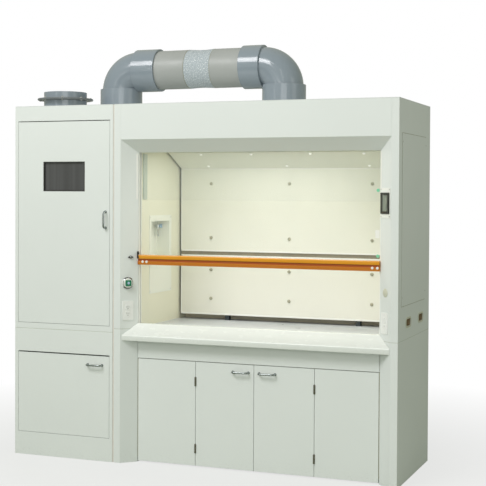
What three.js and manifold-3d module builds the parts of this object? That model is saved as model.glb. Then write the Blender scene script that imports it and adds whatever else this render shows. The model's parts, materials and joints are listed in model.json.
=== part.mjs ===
// Bench fume hood with a scrubber cabinet at its left, joined by a round duct over the roofs.
// Units are millimetres, +Z is up, the front faces -Y, and the origin is under the middle of the pair.
import * as THREE from 'three';
import { mergeVertices } from 'three/addons/utils/BufferGeometryUtils.js';
import Module from 'manifold-3d';

const wasm = await Module();
wasm.setup();

// ---------------------------------------------------------------------------------------------
// Driving dimensions
// ---------------------------------------------------------------------------------------------
const HOOD_WIDTH = 1800;
const SCRUBBER_WIDTH = 700;
const UNIT_GAP = 10;
const DEPTH = 800;
const HEIGHT = 2225;
const HANDLE_REACH = 35;
const SHEET = 2;
const GAP = 0.4;

// Hood carcass
const HOOD_SEAM = 832;
const SEAM_GAP = 3;
const POST_STRIP = 43;
const POST_INNER = 125;
const POST_DEPTH = 80;
const REAR = DEPTH - SHEET;
const ROOF_BOTTOM = HEIGHT - SHEET;
const HEADER_BOTTOM = 2006;
const HEADER_LIP = 1927;

// Working chamber
const LINER = 5;
const WORKTOP = 840;
const WORKTOP_THICK = 18;
const CEILING = 1944;
const LINER_INNER = POST_INNER + LINER;
const BAFFLE_FRONT = 690;
const BAFFLE_EDGE = 146;
const LOWER_SLOT_TOP = 878;
const MID_SLOT = [1262, 1297];
const UPPER_BAFFLE_TOP = 1838;
const LEDGE = { crest: 866, bottom: 762, nose: 5, noseRadius: 12, noseZ: 786, wall: 3, endGap: 2 };
const UPPER_GLASS = { y: [130, 136], z: [1632, 1943] };

// Sash
const SASH_PLANE = [102, 108];
const SASH_BOTTOM = 1231;
const SASH_BAR_TOP = 1291;
const SASH_TOP = 2022;
const GLASS_BOTTOM = SASH_BOTTOM + 9;
const SASH_EDGE = 114.5;
const GUIDE = { x: [108, 131], slotX: 112, slotPlay: 3.5, top: 1935 };
const GUIDE_OUTER = GUIDE.x[1];
const WHEEL_RADIUS = 60;
const AXLE_Y = SASH_PLANE[0] + 3 + WHEEL_RADIUS;
const AXLE_Z = 2150;

// Base cupboard
const APRON_BOTTOM = 650;
const DOOR_BOTTOM = 8;
const DOOR_TOP = 646;
const DOOR_GAP = 3;
const DOOR_DEPTH = 18;
const DOOR_SPLIT = 519;
const BASE_HANDLE_Z = 598;
const BASE_HANDLE_OFFSET = 85;
const HANDLE_LENGTH = 112;
const ROD_RADIUS = 6;

// Scrubber cabinet
const SCRUBBER_SEAM = 808;
const STILE = 22;
const UPPER_DOOR = { x: [24, 677], z: [848, 2124] };
const LOWER_DOOR = { x: [26, 677], z: [148, 656] };
const UPPER_DOOR_HEAD = 5;
const LOWER_DOOR_HEAD = 8;
const WINDOW = { x: [206, 503], z: [1684, 1871] };
const WINDOW_DEPTH = 14;
const UPPER_HANDLE = { x: 650, z: 1508 };
const LOWER_HANDLE = { x: 578, z: 600 };
const EXHAUST = { x: 205, y: 280 };
const COLLAR_RADIUS = 139;
const COLLAR_WALL = 5;
const COLLAR_Z = [2190, 2330];
const FLANGE_RADIUS = 180;
const FLANGE_Z = [2278, 2289];

// Duct
const DUCT_Y = 600;
const DUCT_Z = 2490;
const HOOD_DUCT_X = SCRUBBER_WIDTH + UNIT_GAP + HOOD_WIDTH / 2;
const SCRUBBER_DUCT_X = 451;
const BEND_RADIUS = 135;
const BEND_OUTER = 125;
const BEND_INNER = 121.5;
const PIPE_OUTER = 127;
const PIPE_INNER = 123;
const BELL_OUTER = 140;
const BELL_INNER = 127.5;
const BELL_START = 131;
const SCRUBBER_BELL_END = 294;
const HOOD_BELL_END = 268;
const BELL_ROOT = 8;
const STANDING_BELL_TOP = 2370;
const SLEEVE = [958, 1140];
const SCRUBBER_FOOT = 2140;

const SEGMENTS = 24;

// ---------------------------------------------------------------------------------------------
// Finishes
// ---------------------------------------------------------------------------------------------
const FINISHES = {
  casing: [0xdfe4da, 0.45, 0.1],
  ledge: [0xeef2ea, 0.35, 0.0],
  liner: [0xe3e3c8, 0.5, 0.0],
  worktop: [0xaab0b2, 0.4, 0.0],
  baffleFrame: [0x6e6858, 0.6, 0.3],
  glass: [0xdfeeea, 0.05, 0.0],
  sashBar: [0xe09010, 0.35, 0.3],
  chrome: [0xc8ccce, 0.15, 1.0],
  pvcDark: [0x7d8c96, 0.3, 0.0],
  pvcLight: [0xaaaaa4, 0.4, 0.0],
  sleeve: [0xa9b7bc, 0.7, 0.0],
  black: [0x1c1c1a, 0.4, 0.0],
  outlet: [0xd0d5d2, 0.4, 0.0],
  green: [0x1c7a48, 0.35, 0.0],
  pane: [0x4c4d4f, 0.2, 0.0],
  castIron: [0x55585a, 0.7, 0.6],
  fan: [0x8f959a, 0.5, 0.6],
  filter: [0xbfc3bd, 0.8, 0.1],
};

// ---------------------------------------------------------------------------------------------
// Geometry helpers
// ---------------------------------------------------------------------------------------------
function box([x0, x1], [y0, y1], [z0, z1]) {
  const geometry = new THREE.BoxGeometry(x1 - x0, y1 - y0, z1 - z0);
  return geometry.translate((x0 + x1) / 2, (y0 + y1) / 2, (z0 + z1) / 2);
}

function shapeOf(outline) {
  return new THREE.Shape(outline.map(([u, v]) => new THREE.Vector2(u, v)));
}

// Outline in (x, y), pushed up from z0 to z1.
function prismZ(outline, [z0, z1]) {
  const options = { depth: z1 - z0, bevelEnabled: false };
  return new THREE.ExtrudeGeometry(shapeOf(outline), options).translate(0, 0, z0);
}

// Outline in (y, z), pushed along X from x0 to x1.
function prismX(outline, [x0, x1]) {
  const options = { depth: x1 - x0, bevelEnabled: false };
  const turn = new THREE.Matrix4().set(0, 0, 1, x0, 1, 0, 0, 0, 0, 1, 0, 0, 0, 0, 0, 1);
  return new THREE.ExtrudeGeometry(shapeOf(outline), options).applyMatrix4(turn);
}

// Point where the sheet's second face turns at corner i, at a signed distance left of the walk.
function offsetCorner(path, i, distance) {
  const here = new THREE.Vector2(...path[i]);
  const before = new THREE.Vector2(...path[Math.max(i - 1, 0)]);
  const after = new THREE.Vector2(...path[Math.min(i + 1, path.length - 1)]);
  const arriving = here.clone().sub(before).normalize();
  const leaving = after.clone().sub(here).normalize();
  const incoming = i === 0 ? leaving : arriving;
  const outgoing = i === path.length - 1 ? arriving : leaving;
  const normal = new THREE.Vector2(-incoming.y - outgoing.y, incoming.x + outgoing.x).normalize();
  const spread = normal.dot(new THREE.Vector2(-incoming.y, incoming.x));
  const corner = here.addScaledVector(normal, distance / spread);
  return [corner.x, corner.y];
}

// Closed outline of a sheet bent along a path; a positive thickness lies left of the walk.
function bentSheet(path, thickness) {
  const second = path.map((point, i) => offsetCorner(path, i, thickness));
  return [...path, ...second.reverse()];
}

// Ring of revolution about Z; the profile of [radius, z] points closes on itself.
function revolve(profile, segments = SEGMENTS) {
  const points = [...profile, profile[0]].map(([radius, z]) => new THREE.Vector2(radius, z));
  return new THREE.LatheGeometry(points, segments).rotateX(Math.PI / 2);
}

function rod(radius, [z0, z1], segments = SEGMENTS) {
  const geometry = new THREE.CylinderGeometry(radius, radius, z1 - z0, segments);
  return geometry.rotateX(Math.PI / 2).translate(0, 0, (z0 + z1) / 2);
}

function toManifold(geometry) {
  const bare = geometry.clone();
  bare.deleteAttribute('normal');
  bare.deleteAttribute('uv');
  const merged = mergeVertices(bare, 1e-4);
  const vertProperties = merged.attributes.position.array;
  const triVerts = new Uint32Array(merged.index.array);
  return new wasm.Manifold(new wasm.Mesh({ numProp: 3, vertProperties, triVerts }));
}

function toGeometry(manifold) {
  const mesh = manifold.getMesh();
  const geometry = new THREE.BufferGeometry();
  geometry.setAttribute('position', new THREE.BufferAttribute(mesh.vertProperties, 3));
  geometry.setIndex(new THREE.BufferAttribute(mesh.triVerts, 1));
  geometry.computeVertexNormals();
  return geometry;
}

function combine(first, others, operation) {
  const start = toManifold(first);
  return toGeometry(others.reduce((sum, other) => sum[operation](toManifold(other)), start));
}

const cut = (first, ...others) => combine(first, others, 'subtract');
const join = (first, ...others) => combine(first, others, 'add');
const keepInside = (first, other) => combine(first, [other], 'intersect');

// Flat pan: a front sheet with its edges turned back, open at the rear.
function pan([x0, x1], y, [z0, z1], depth) {
  const inside = [y + SHEET, y + depth + 1];
  const hollow = box([x0 + SHEET, x1 - SHEET], inside, [z0 + SHEET, z1 - SHEET]);
  return cut(box([x0, x1], [y, y + depth], [z0, z1]), hollow);
}

// Outline of a rectangle in (y, z) whose corners are rounded.
function roundedRectangle(centreY, centreZ, width, height, radius) {
  const corners = [[1, 1], [-1, 1], [-1, -1], [1, -1]];
  const steps = 4;
  return corners.flatMap(([sy, sz], quarter) => {
    const cy = centreY + sy * (width / 2 - radius);
    const cz = centreZ + sz * (height / 2 - radius);
    return Array.from({ length: steps + 1 }, (_, i) => {
      const angle = (quarter + i / steps) * Math.PI / 2;
      return [cy + radius * Math.cos(angle), cz + radius * Math.sin(angle)];
    });
  });
}

function addPart(group, name, geometry, finish) {
  const [color, roughness, metalness] = FINISHES[finish];
  const material = new THREE.MeshStandardMaterial({ color, roughness, metalness });
  const mesh = new THREE.Mesh(geometry, material);
  mesh.name = name;
  group.add(mesh);
  return mesh;
}

// ---------------------------------------------------------------------------------------------
// Frames: the two units, and the slanted faces of the hood's posts
// ---------------------------------------------------------------------------------------------
const fumeHood = new THREE.Group();
const scrubber = new THREE.Group();
const hood = new THREE.Group();
const leftX = -(SCRUBBER_WIDTH + UNIT_GAP + HOOD_WIDTH) / 2;
const frontY = -(DEPTH - HANDLE_REACH) / 2;
scrubber.position.set(leftX, frontY, 0);
hood.position.set(leftX + SCRUBBER_WIDTH + UNIT_GAP, frontY, 0);
fumeHood.add(scrubber, hood);

const mirrored = (x) => HOOD_WIDTH - x;
const mirroredPath = (path) => path.map(([x, y]) => [mirrored(x), y]);

// Groups whose x runs to the right along a slanted post face and whose y points into the post.
const SLANT_RUN = POST_INNER - POST_STRIP;
const SLANT_ANGLE = Math.atan2(POST_DEPTH, SLANT_RUN);
const leftFace = new THREE.Group();
leftFace.position.set(POST_STRIP, 0, 0);
leftFace.rotation.z = SLANT_ANGLE;
const rightFace = new THREE.Group();
rightFace.position.set(mirrored(POST_INNER), POST_DEPTH, 0);
rightFace.rotation.z = -SLANT_ANGLE;
hood.add(leftFace, rightFace);

// Spindle hole through the left slanted face, in the hood's own frame.
function spindleHole(along, z, radius) {
  const hole = new THREE.CylinderGeometry(radius, radius, 30, SEGMENTS);
  hole.translate(along, 0, z).rotateZ(SLANT_ANGLE);
  return hole.translate(POST_STRIP, 0, 0);
}

// ---------------------------------------------------------------------------------------------
// Hood: base cupboard
// ---------------------------------------------------------------------------------------------
const TAP = { along: 47, z: 1118, radius: 36, faceRadius: 29, rim: 9, face: 15, cap: 15, proud: 26,
  spindle: 6 };
const SELECTOR = { along: 66, z: 1278, side: 20, proud: 11, spindle: 4 };
const SPINDLE_CLEARANCE = 1;

const BASE_RETURN = 32;
const basePath = [[0, REAR - GAP], [0, 0], [POST_STRIP, 0], [POST_INNER, POST_DEPTH],
  [POST_INNER, POST_DEPTH + BASE_RETURN]];

function baseSides() {
  const height = [0, HOOD_SEAM - GAP];
  addPart(hood, 'base_side_left', prismZ(bentSheet(basePath, SHEET), height), 'casing');
  const right = bentSheet(mirroredPath(basePath), -SHEET);
  addPart(hood, 'base_side_right', prismZ(right, height), 'casing');
}

const FLOOR_PAN = 30;
function baseFloor() {
  const x = [SHEET + 1, HOOD_WIDTH - SHEET - 1];
  const y = [POST_DEPTH + BASE_RETURN + 2, REAR - 2];
  const hollow = box([x[0] + SHEET, x[1] - SHEET], [y[0] + SHEET, y[1] + 1], [SHEET, FLOOR_PAN - SHEET]);
  addPart(hood, 'base_floor', cut(box(x, y, [0, FLOOR_PAN]), hollow), 'casing');
}

const OPENING_EDGE = POST_INNER + SHEET;
function apron() {
  const back = POST_DEPTH + DOOR_DEPTH;
  const top = WORKTOP - WORKTOP_THICK - 4;
  const path = [[back, APRON_BOTTOM], [POST_DEPTH, APRON_BOTTOM], [POST_DEPTH, top], [back, top]];
  const outline = bentSheet(path, -SHEET);
  addPart(hood, 'apron_panel', prismX(outline, [OPENING_EDGE, mirrored(OPENING_EDGE)]), 'casing');
}

const BASE_Z = [DOOR_BOTTOM, DOOR_TOP];
function basePanels() {
  const left = [OPENING_EDGE + DOOR_GAP, DOOR_SPLIT - DOOR_GAP / 2];
  const right = [mirrored(left[1]), mirrored(left[0])];
  addPart(hood, 'base_panel_left', pan(left, POST_DEPTH, BASE_Z, DOOR_DEPTH), 'casing');
  addPart(hood, 'base_panel_right', pan(right, POST_DEPTH, BASE_Z, DOOR_DEPTH), 'casing');
}

function baseDoors() {
  const left = [DOOR_SPLIT + DOOR_GAP / 2, (HOOD_WIDTH - DOOR_GAP) / 2];
  const right = [mirrored(left[1]), mirrored(left[0])];
  addPart(hood, 'base_door_left', pan(left, POST_DEPTH, BASE_Z, DOOR_DEPTH), 'casing');
  addPart(hood, 'base_door_right', pan(right, POST_DEPTH, BASE_Z, DOOR_DEPTH), 'casing');
}

// Two posts behind the door edges, joined by a rail behind the apron; all are open at the back.
const BASE_FRAME = { post: 36, deep: 30, top: 800 };
function baseFrame() {
  const { post, deep, top } = BASE_FRAME;
  const front = POST_DEPTH + DOOR_DEPTH + 1;
  const depth = [front, front + deep];
  const groove = [front + SHEET, front + deep + 1];
  const z = [FLOOR_PAN + GAP, top];
  const left = [DOOR_SPLIT - post / 2, DOOR_SPLIT + post / 2];
  const right = [mirrored(left[1]), mirrored(left[0])];
  const rail = [z[1] - post, z[1]];
  const shrink = ([low, high]) => [low + SHEET, high - SHEET];
  const solids = [box(left, depth, z), box(right, depth, z), box([left[0], right[1]], depth, rail)];
  const frame = join(...solids);
  const hollows = [
    box(shrink(left), groove, [z[0] - 1, z[1] - SHEET]),
    box(shrink(right), groove, [z[0] - 1, z[1] - SHEET]),
    box([left[0] + SHEET, right[1] - SHEET], groove, shrink(rail)),
  ];
  addPart(hood, 'base_frame', cut(frame, ...hollows), 'casing');
}

// Bow handle: a bent round rod whose grip lies along X, with its feet just off the plane y = 0.
function bowHandle() {
  const half = HANDLE_LENGTH / 2 - ROD_RADIUS;
  const grip = -(HANDLE_REACH - ROD_RADIUS);
  const turn = 14;
  const at = (x, y) => new THREE.Vector3(x, y, 0);
  const path = new THREE.CurvePath();
  path.add(new THREE.LineCurve3(at(-half, -GAP), at(-half, grip + turn)));
  path.add(new THREE.QuadraticBezierCurve3(at(-half, grip + turn), at(-half, grip), at(-half + turn, grip)));
  path.add(new THREE.LineCurve3(at(-half + turn, grip), at(half - turn, grip)));
  path.add(new THREE.QuadraticBezierCurve3(at(half - turn, grip), at(half, grip), at(half, grip + turn)));
  path.add(new THREE.LineCurve3(at(half, grip + turn), at(half, -GAP)));
  const section = new THREE.Shape().absarc(0, 0, ROD_RADIUS, 0, 2 * Math.PI);
  return new THREE.ExtrudeGeometry(section, { extrudePath: path, steps: 20, curveSegments: 4 });
}

function baseHandles() {
  const offsets = { base_handle_left: -BASE_HANDLE_OFFSET, base_handle_right: BASE_HANDLE_OFFSET };
  for (const [name, offset] of Object.entries(offsets)) {
    const handle = addPart(hood, name, bowHandle(), 'chrome');
    handle.position.set(HOOD_WIDTH / 2 + offset, POST_DEPTH, BASE_HANDLE_Z);
  }
}

// ---------------------------------------------------------------------------------------------
// Hood: outer skins
// ---------------------------------------------------------------------------------------------
const ACCESS = { y: [79, 678], z: [1032, 2026] };
const ACCESS_LAP = 18;
const SERVICE_OPENINGS = { y: [250, 566], z: 928, width: 112, height: 42, radius: 14 };

const sidePath = [[0, REAR - GAP], [0, 0], [POST_STRIP, 0], [POST_INNER, POST_DEPTH],
  [POST_INNER, POST_DEPTH + 8]];
const SIDE_Z = [HOOD_SEAM + SEAM_GAP, ROOF_BOTTOM - GAP];

function sideSkinLeft() {
  const skin = prismZ(bentSheet(sidePath, SHEET), SIDE_Z);
  const tapHole = spindleHole(TAP.along, TAP.z, TAP.spindle + SPINDLE_CLEARANCE);
  const selectorHole = spindleHole(SELECTOR.along, SELECTOR.z, SELECTOR.spindle + SPINDLE_CLEARANCE);
  addPart(hood, 'side_skin_left', cut(skin, tapHole, selectorHole), 'casing');
}

function sideSkinRight() {
  const skin = prismZ(bentSheet(mirroredPath(sidePath), -SHEET), SIDE_Z);
  const through = [HOOD_WIDTH - 10, HOOD_WIDTH + 10];
  const access = box(through, [ACCESS.y[0] + ACCESS_LAP, ACCESS.y[1] - ACCESS_LAP],
    [ACCESS.z[0] + ACCESS_LAP, ACCESS.z[1] - ACCESS_LAP]);
  const { y, z, width, height, radius } = SERVICE_OPENINGS;
  const services = y.map((centre) => prismX(roundedRectangle(centre, z, width, height, radius), through));
  addPart(hood, 'side_skin_right', cut(skin, access, ...services), 'casing');
}

function accessPanel() {
  const x = [HOOD_WIDTH + GAP, HOOD_WIDTH + GAP + SHEET];
  addPart(hood, 'access_panel', box(x, ACCESS.y, ACCESS.z), 'casing');
}

// Everything between the slanted post faces, at a clearance from them.
function betweenPosts(clearance, z) {
  const atFront = POST_STRIP - SLANT_RUN / POST_DEPTH + clearance;
  const inner = POST_INNER + clearance;
  const back = 2 * POST_DEPTH;
  return prismZ([[atFront, -1], [mirrored(atFront), -1], [mirrored(inner), POST_DEPTH],
    [mirrored(inner), back], [inner, back], [inner, POST_DEPTH]], z);
}

const HEADER_RETURN = 20;
const HEADER_CLEARANCE = 0.8;
function header() {
  const lip = 7;
  const path = [[HEADER_RETURN, ROOF_BOTTOM - GAP], [0, ROOF_BOTTOM - GAP], [0, HEADER_BOTTOM],
    [POST_DEPTH, HEADER_LIP], [POST_DEPTH + lip, HEADER_LIP], [POST_DEPTH + lip, HEADER_LIP + lip]];
  const sheet = prismX(bentSheet(path, SHEET), [0, HOOD_WIDTH]);
  const room = betweenPosts(HEADER_CLEARANCE, [HEADER_LIP - 10, HEIGHT]);
  addPart(hood, 'header_panel', keepInside(sheet, room), 'casing');
}

function hoodRoof() {
  const hole = rod(BEND_OUTER + 1.5, [ROOF_BOTTOM - 5, HEIGHT + 5]);
  hole.translate(HOOD_WIDTH / 2, DUCT_Y, 0);
  const sheet = box([0, HOOD_WIDTH], [0, DEPTH], [ROOF_BOTTOM, HEIGHT]);
  addPart(hood, 'hood_roof', cut(sheet, hole), 'casing');
}

function rearPanel() {
  addPart(hood, 'rear_panel', box([0, HOOD_WIDTH], [REAR, DEPTH], [0, ROOF_BOTTOM - GAP]), 'casing');
}

// ---------------------------------------------------------------------------------------------
// Hood: working chamber
// ---------------------------------------------------------------------------------------------
const CHAMBER_FRONT = 122;
const WORKTOP_FRONT = 98;
const WORKTOP_EDGE = GUIDE_OUTER + GAP;
const REAR_STEP = WORKTOP - 2;

// Slab that fits between the liners, with a shallow step down behind the lower baffle.
function workSurface() {
  const x = [WORKTOP_EDGE, mirrored(WORKTOP_EDGE)];
  const slab = box(x, [WORKTOP_FRONT, REAR - 1], [WORKTOP - WORKTOP_THICK, WORKTOP]);
  const behind = box([0, HOOD_WIDTH], [BAFFLE_FRONT + LINER - 1, DEPTH], [REAR_STEP, WORKTOP + 1]);
  addPart(hood, 'work_surface', cut(slab, behind), 'worktop');
}

// Front sill: a moulded cover that falls forward from its crest and turns down in a rounded nose.
function sillLedge() {
  const { nose: front, noseRadius: radius, noseZ } = LEDGE;
  const nose = Array.from({ length: 4 }, (_, i) => {
    const angle = Math.PI - (i / 3) * Math.PI / 4;
    return [front + radius + radius * Math.cos(angle), noseZ + radius * Math.sin(angle)];
  });
  const back = WORKTOP_FRONT - 2;
  const crest = [[73, LEDGE.crest - 5], [79, LEDGE.crest - 1], [83, LEDGE.crest], [back, LEDGE.crest]];
  const path = [[24, LEDGE.bottom], [LEDGE.nose, LEDGE.bottom], ...nose, ...crest, [back, WORKTOP + 2]];
  const cover = prismX(bentSheet(path, -LEDGE.wall), [0, HOOD_WIDTH]);
  const room = betweenPosts(LEDGE.endGap, [LEDGE.bottom - 10, LEDGE.crest + 10]);
  addPart(hood, 'sill_ledge', keepInside(cover, room), 'ledge');
}

const NICHE = { y: [258, 528], z: [1240, 1495], plateY: [230, 560], plateZ: [1036, 1534], back: 42 };
const LINER_Z = [WORKTOP - WORKTOP_THICK, CEILING];
const LINER_Y = [CHAMBER_FRONT, REAR - 1];

function liners() {
  const left = box([POST_INNER, LINER_INNER], LINER_Y, LINER_Z);
  const clear = SHEET + 2;
  const hole = box([POST_INNER - 1, LINER_INNER + 1], [NICHE.y[0] - clear, NICHE.y[1] + clear],
    [NICHE.z[0] - clear, NICHE.z[1] + clear]);
  addPart(hood, 'liner_left', cut(left, hole), 'liner');
  const right = box([mirrored(LINER_INNER), mirrored(POST_INNER)], LINER_Y, LINER_Z);
  addPart(hood, 'liner_right', right, 'liner');
}

// Cover plate on the left liner with a pocket let into the wall behind it.
function serviceNiche() {
  const plate = box([LINER_INNER + GAP, LINER_INNER + GAP + SHEET], NICHE.plateY, NICHE.plateZ);
  const grow = ([low, high]) => [low - SHEET, high + SHEET];
  const shell = box([NICHE.back - SHEET, LINER_INNER + 1], grow(NICHE.y), grow(NICHE.z));
  const pocket = box([NICHE.back, LINER_INNER + 10], NICHE.y, NICHE.z);
  addPart(hood, 'service_niche', cut(join(plate, shell), pocket), 'liner');
}

// Gas cock on the back of the niche: stem, elbow body and a stepped hose nozzle pointing down.
const COCK = { x: 66, y: 496, z: 1462, stem: 8, body: 12, bodyHeights: [-14, 12], nozzle: 6,
  nozzleHeights: [-70, -10], barb: [8, 5.5], barbLength: 22, barbHeight: -46 };
function gasCock() {
  const heights = ([low, high]) => [COCK.z + low, COCK.z + high];
  const stem = rod(COCK.stem, [NICHE.back + GAP, COCK.x]).rotateY(Math.PI / 2).translate(0, COCK.y, COCK.z);
  const body = rod(COCK.body, heights(COCK.bodyHeights)).translate(COCK.x, COCK.y, 0);
  const nozzle = rod(COCK.nozzle, heights(COCK.nozzleHeights), 12).translate(COCK.x, COCK.y, 0);
  const barb = new THREE.CylinderGeometry(...COCK.barb, COCK.barbLength, 12).rotateX(Math.PI / 2);
  barb.translate(COCK.x, COCK.y, COCK.z + COCK.barbHeight);
  addPart(hood, 'gas_cock', join(stem, body, nozzle, barb), 'chrome');
}

const COCK_KNOB = { radius: 15, length: 20, wing: 17, wingHalf: 4, wingZ: [4, 16] };
function gasCockKnob() {
  const { radius, length, wing, wingHalf, wingZ } = COCK_KNOB;
  const grip = box([-wing, wing], [-wingHalf, wingHalf], wingZ);
  const part = addPart(hood, 'gas_cock_knob', join(rod(radius, [0, length], 12), grip), 'pvcDark');
  part.rotation.y = Math.PI / 2;
  part.position.set(COCK.x + COCK.body + GAP, COCK.y, COCK.z);
}

const CEILING_FRONT = 138;
const LAMP = { opening: [415, 1385], x: [400, 1400], y: [190, 330], rim: 15, height: 70 };
function ceilingPanel() {
  const z = [CEILING + GAP, CEILING + GAP + LINER];
  const slab = box([POST_INNER - 1, mirrored(POST_INNER - 1)], [CEILING_FRONT, REAR - 1], z);
  const hole = rod(BEND_OUTER + 1.5, [z[0] - 5, z[1] + 5]).translate(HOOD_WIDTH / 2, DUCT_Y, 0);
  const light = box(LAMP.opening, [LAMP.y[0] + LAMP.rim, LAMP.y[1] - LAMP.rim], [z[0] - 5, z[1] + 5]);
  addPart(hood, 'ceiling_panel', cut(slab, hole, light), 'liner');
}

// Lamp housing: an inverted tray over the ceiling's light opening.
function lampHousing() {
  const bottom = CEILING + GAP + LINER + GAP;
  const shrink = ([low, high]) => [low + SHEET, high - SHEET];
  const tray = box(LAMP.x, LAMP.y, [bottom, bottom + LAMP.height]);
  const hollow = box(shrink(LAMP.x), shrink(LAMP.y), [bottom - 1, bottom + LAMP.height - SHEET]);
  addPart(hood, 'lamp_housing', cut(tray, hollow), 'casing');
}

const BAFFLE_X = [BAFFLE_EDGE, mirrored(BAFFLE_EDGE)];
const TOP_BAFFLE_FRONT = 482;
function baffles() {
  const y = [BAFFLE_FRONT, BAFFLE_FRONT + LINER];
  addPart(hood, 'baffle_lower', box(BAFFLE_X, y, [LOWER_SLOT_TOP, MID_SLOT[0]]), 'liner');
  addPart(hood, 'baffle_upper', box(BAFFLE_X, y, [MID_SLOT[1], UPPER_BAFFLE_TOP]), 'liner');
  const path = [[TOP_BAFFLE_FRONT, CEILING - 6], [BAFFLE_FRONT - 4, UPPER_BAFFLE_TOP + 2]];
  addPart(hood, 'baffle_top', prismX(bentSheet(path, LINER), BAFFLE_X), 'liner');
}

// Two posts behind the baffles and the channel that closes the slot between them.
const BAFFLE_POSTS = { x: [[461, 490], [1355, 1385]], depth: 30, z: [REAR_STEP + GAP, 1800] };
const BAFFLE_RAIL = { lap: 10, depth: 16 };
function baffleFrame() {
  const front = BAFFLE_FRONT + LINER + GAP;
  const posts = BAFFLE_POSTS.x.map((x) => box(x, [front, front + BAFFLE_POSTS.depth], BAFFLE_POSTS.z));
  const railZ = [MID_SLOT[0] - BAFFLE_RAIL.lap, MID_SLOT[1] + BAFFLE_RAIL.lap];
  const rail = box(BAFFLE_X, [front, front + BAFFLE_RAIL.depth], railZ);
  addPart(hood, 'baffle_frame', join(rail, ...posts), 'baffleFrame');
}

function upperGlass() {
  const x = [GUIDE_OUTER, mirrored(GUIDE_OUTER)];
  addPart(hood, 'upper_glass', box(x, UPPER_GLASS.y, UPPER_GLASS.z), 'glass');
}

// ---------------------------------------------------------------------------------------------
// Hood: sash, its guides and its counterbalance
// ---------------------------------------------------------------------------------------------
function sashGuides() {
  const z = [LEDGE.crest + GAP, GUIDE.top];
  const slot = [SASH_PLANE[0] - GUIDE.slotPlay, SASH_PLANE[1] + GUIDE.slotPlay];
  const front = POST_DEPTH + 9;
  const back = CHAMBER_FRONT - 1;
  const { x: [outside, inside], slotX } = GUIDE;
  const outline = [[outside, front], [inside, front], [inside, slot[0]], [slotX, slot[0]],
    [slotX, slot[1]], [inside, slot[1]], [inside, back], [outside, back]];
  addPart(hood, 'sash_guide_left', prismZ(outline, z), 'casing');
  addPart(hood, 'sash_guide_right', prismZ(mirroredPath(outline), z), 'casing');
}

function sashGlass() {
  const x = [SASH_EDGE, mirrored(SASH_EDGE)];
  addPart(hood, 'sash_glass', box(x, SASH_PLANE, [GLASS_BOTTOM, SASH_TOP]), 'glass');
}

// Front outline of the bar as [y, height above its underside], with its finger groove.
const BAR_PROFILE = [[88, 0], [70, 0], [67, 3], [67, 23], [75, 26], [75, 33],
  [65, 36], [63, 40], [63, 55], [67, 60], [88, 60]];
const BAR = { end: 128, jawEnd: 133, jawFront: 87, jawBack: 112, bore: [78, 98], wall: 4 };

// Handle bar: a grooved aluminium section in front, and a jaw that grips the glass behind.
function sashBar() {
  const across = (x) => [x, mirrored(x)];
  const profile = BAR_PROFILE.map(([y, height]) => [y, SASH_BOTTOM + height]);
  const bar = prismX(profile, across(BAR.end));
  const jaw = box(across(BAR.jawEnd), [BAR.jawFront, BAR.jawBack], [SASH_BOTTOM, SASH_BAR_TOP]);
  const slot = box(across(BAR.end - 10), [SASH_PLANE[0] - GAP, SASH_PLANE[1] + GAP],
    [GLASS_BOTTOM - GAP, SASH_BAR_TOP + 1]);
  const bore = box(across(BAR.end - 10), BAR.bore, [SASH_BOTTOM + BAR.wall, SASH_BAR_TOP - BAR.wall]);
  addPart(hood, 'sash_handle_bar', cut(join(bar, jaw), slot, bore), 'sashBar');
}

const WEIGHT_Y = AXLE_Y + WHEEL_RADIUS;
const WEIGHT = { x: [12, 104], y: [WEIGHT_Y - 20, WEIGHT_Y + 20], z: [1300, 1660] };
function counterweights() {
  const rightX = [mirrored(WEIGHT.x[1]), mirrored(WEIGHT.x[0])];
  addPart(hood, 'counterweight_left', box(WEIGHT.x, WEIGHT.y, WEIGHT.z), 'castIron');
  addPart(hood, 'counterweight_right', box(rightX, WEIGHT.y, WEIGHT.z), 'castIron');
}

// Axle over the chamber with a grooved cable wheel at each end.
const AXLE = { end: 88, wheelX: 99, radius: 8, hub: 6, wheelHalf: 7, rim: 2, groove: 3 };
function sashAxle() {
  const { end, wheelX, radius, hub, wheelHalf, rim, groove } = AXLE;
  const wheel = () => revolve([[hub, -wheelHalf], [WHEEL_RADIUS + rim, -wheelHalf],
    [WHEEL_RADIUS - groove, 0], [WHEEL_RADIUS + rim, wheelHalf], [hub, wheelHalf]]);
  const shaft = rod(radius, [end, mirrored(end)], 12);
  const solids = [wheelX, mirrored(wheelX)].map((x) => wheel().translate(0, 0, x));
  const axle = join(shaft, ...solids).rotateY(Math.PI / 2);
  addPart(hood, 'sash_axle', axle, 'castIron').position.set(0, AXLE_Y, AXLE_Z);
}

// ---------------------------------------------------------------------------------------------
// Hood: fittings on the slanted faces
// ---------------------------------------------------------------------------------------------
const OUTLET = { width: 70, height: 120, thick: 8 };
function outlet(group, name, along, z) {
  const x = [along - OUTLET.width / 2, along + OUTLET.width / 2];
  const plate = box(x, [-OUTLET.thick, -GAP], [z - OUTLET.height / 2, z + OUTLET.height / 2]);
  addPart(group, name, plate, 'outlet');
}

function outlets() {
  outlet(leftFace, 'outlet_left', 49, 947);
  outlet(rightFace, 'outlet_right', 53, 938);
}

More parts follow.
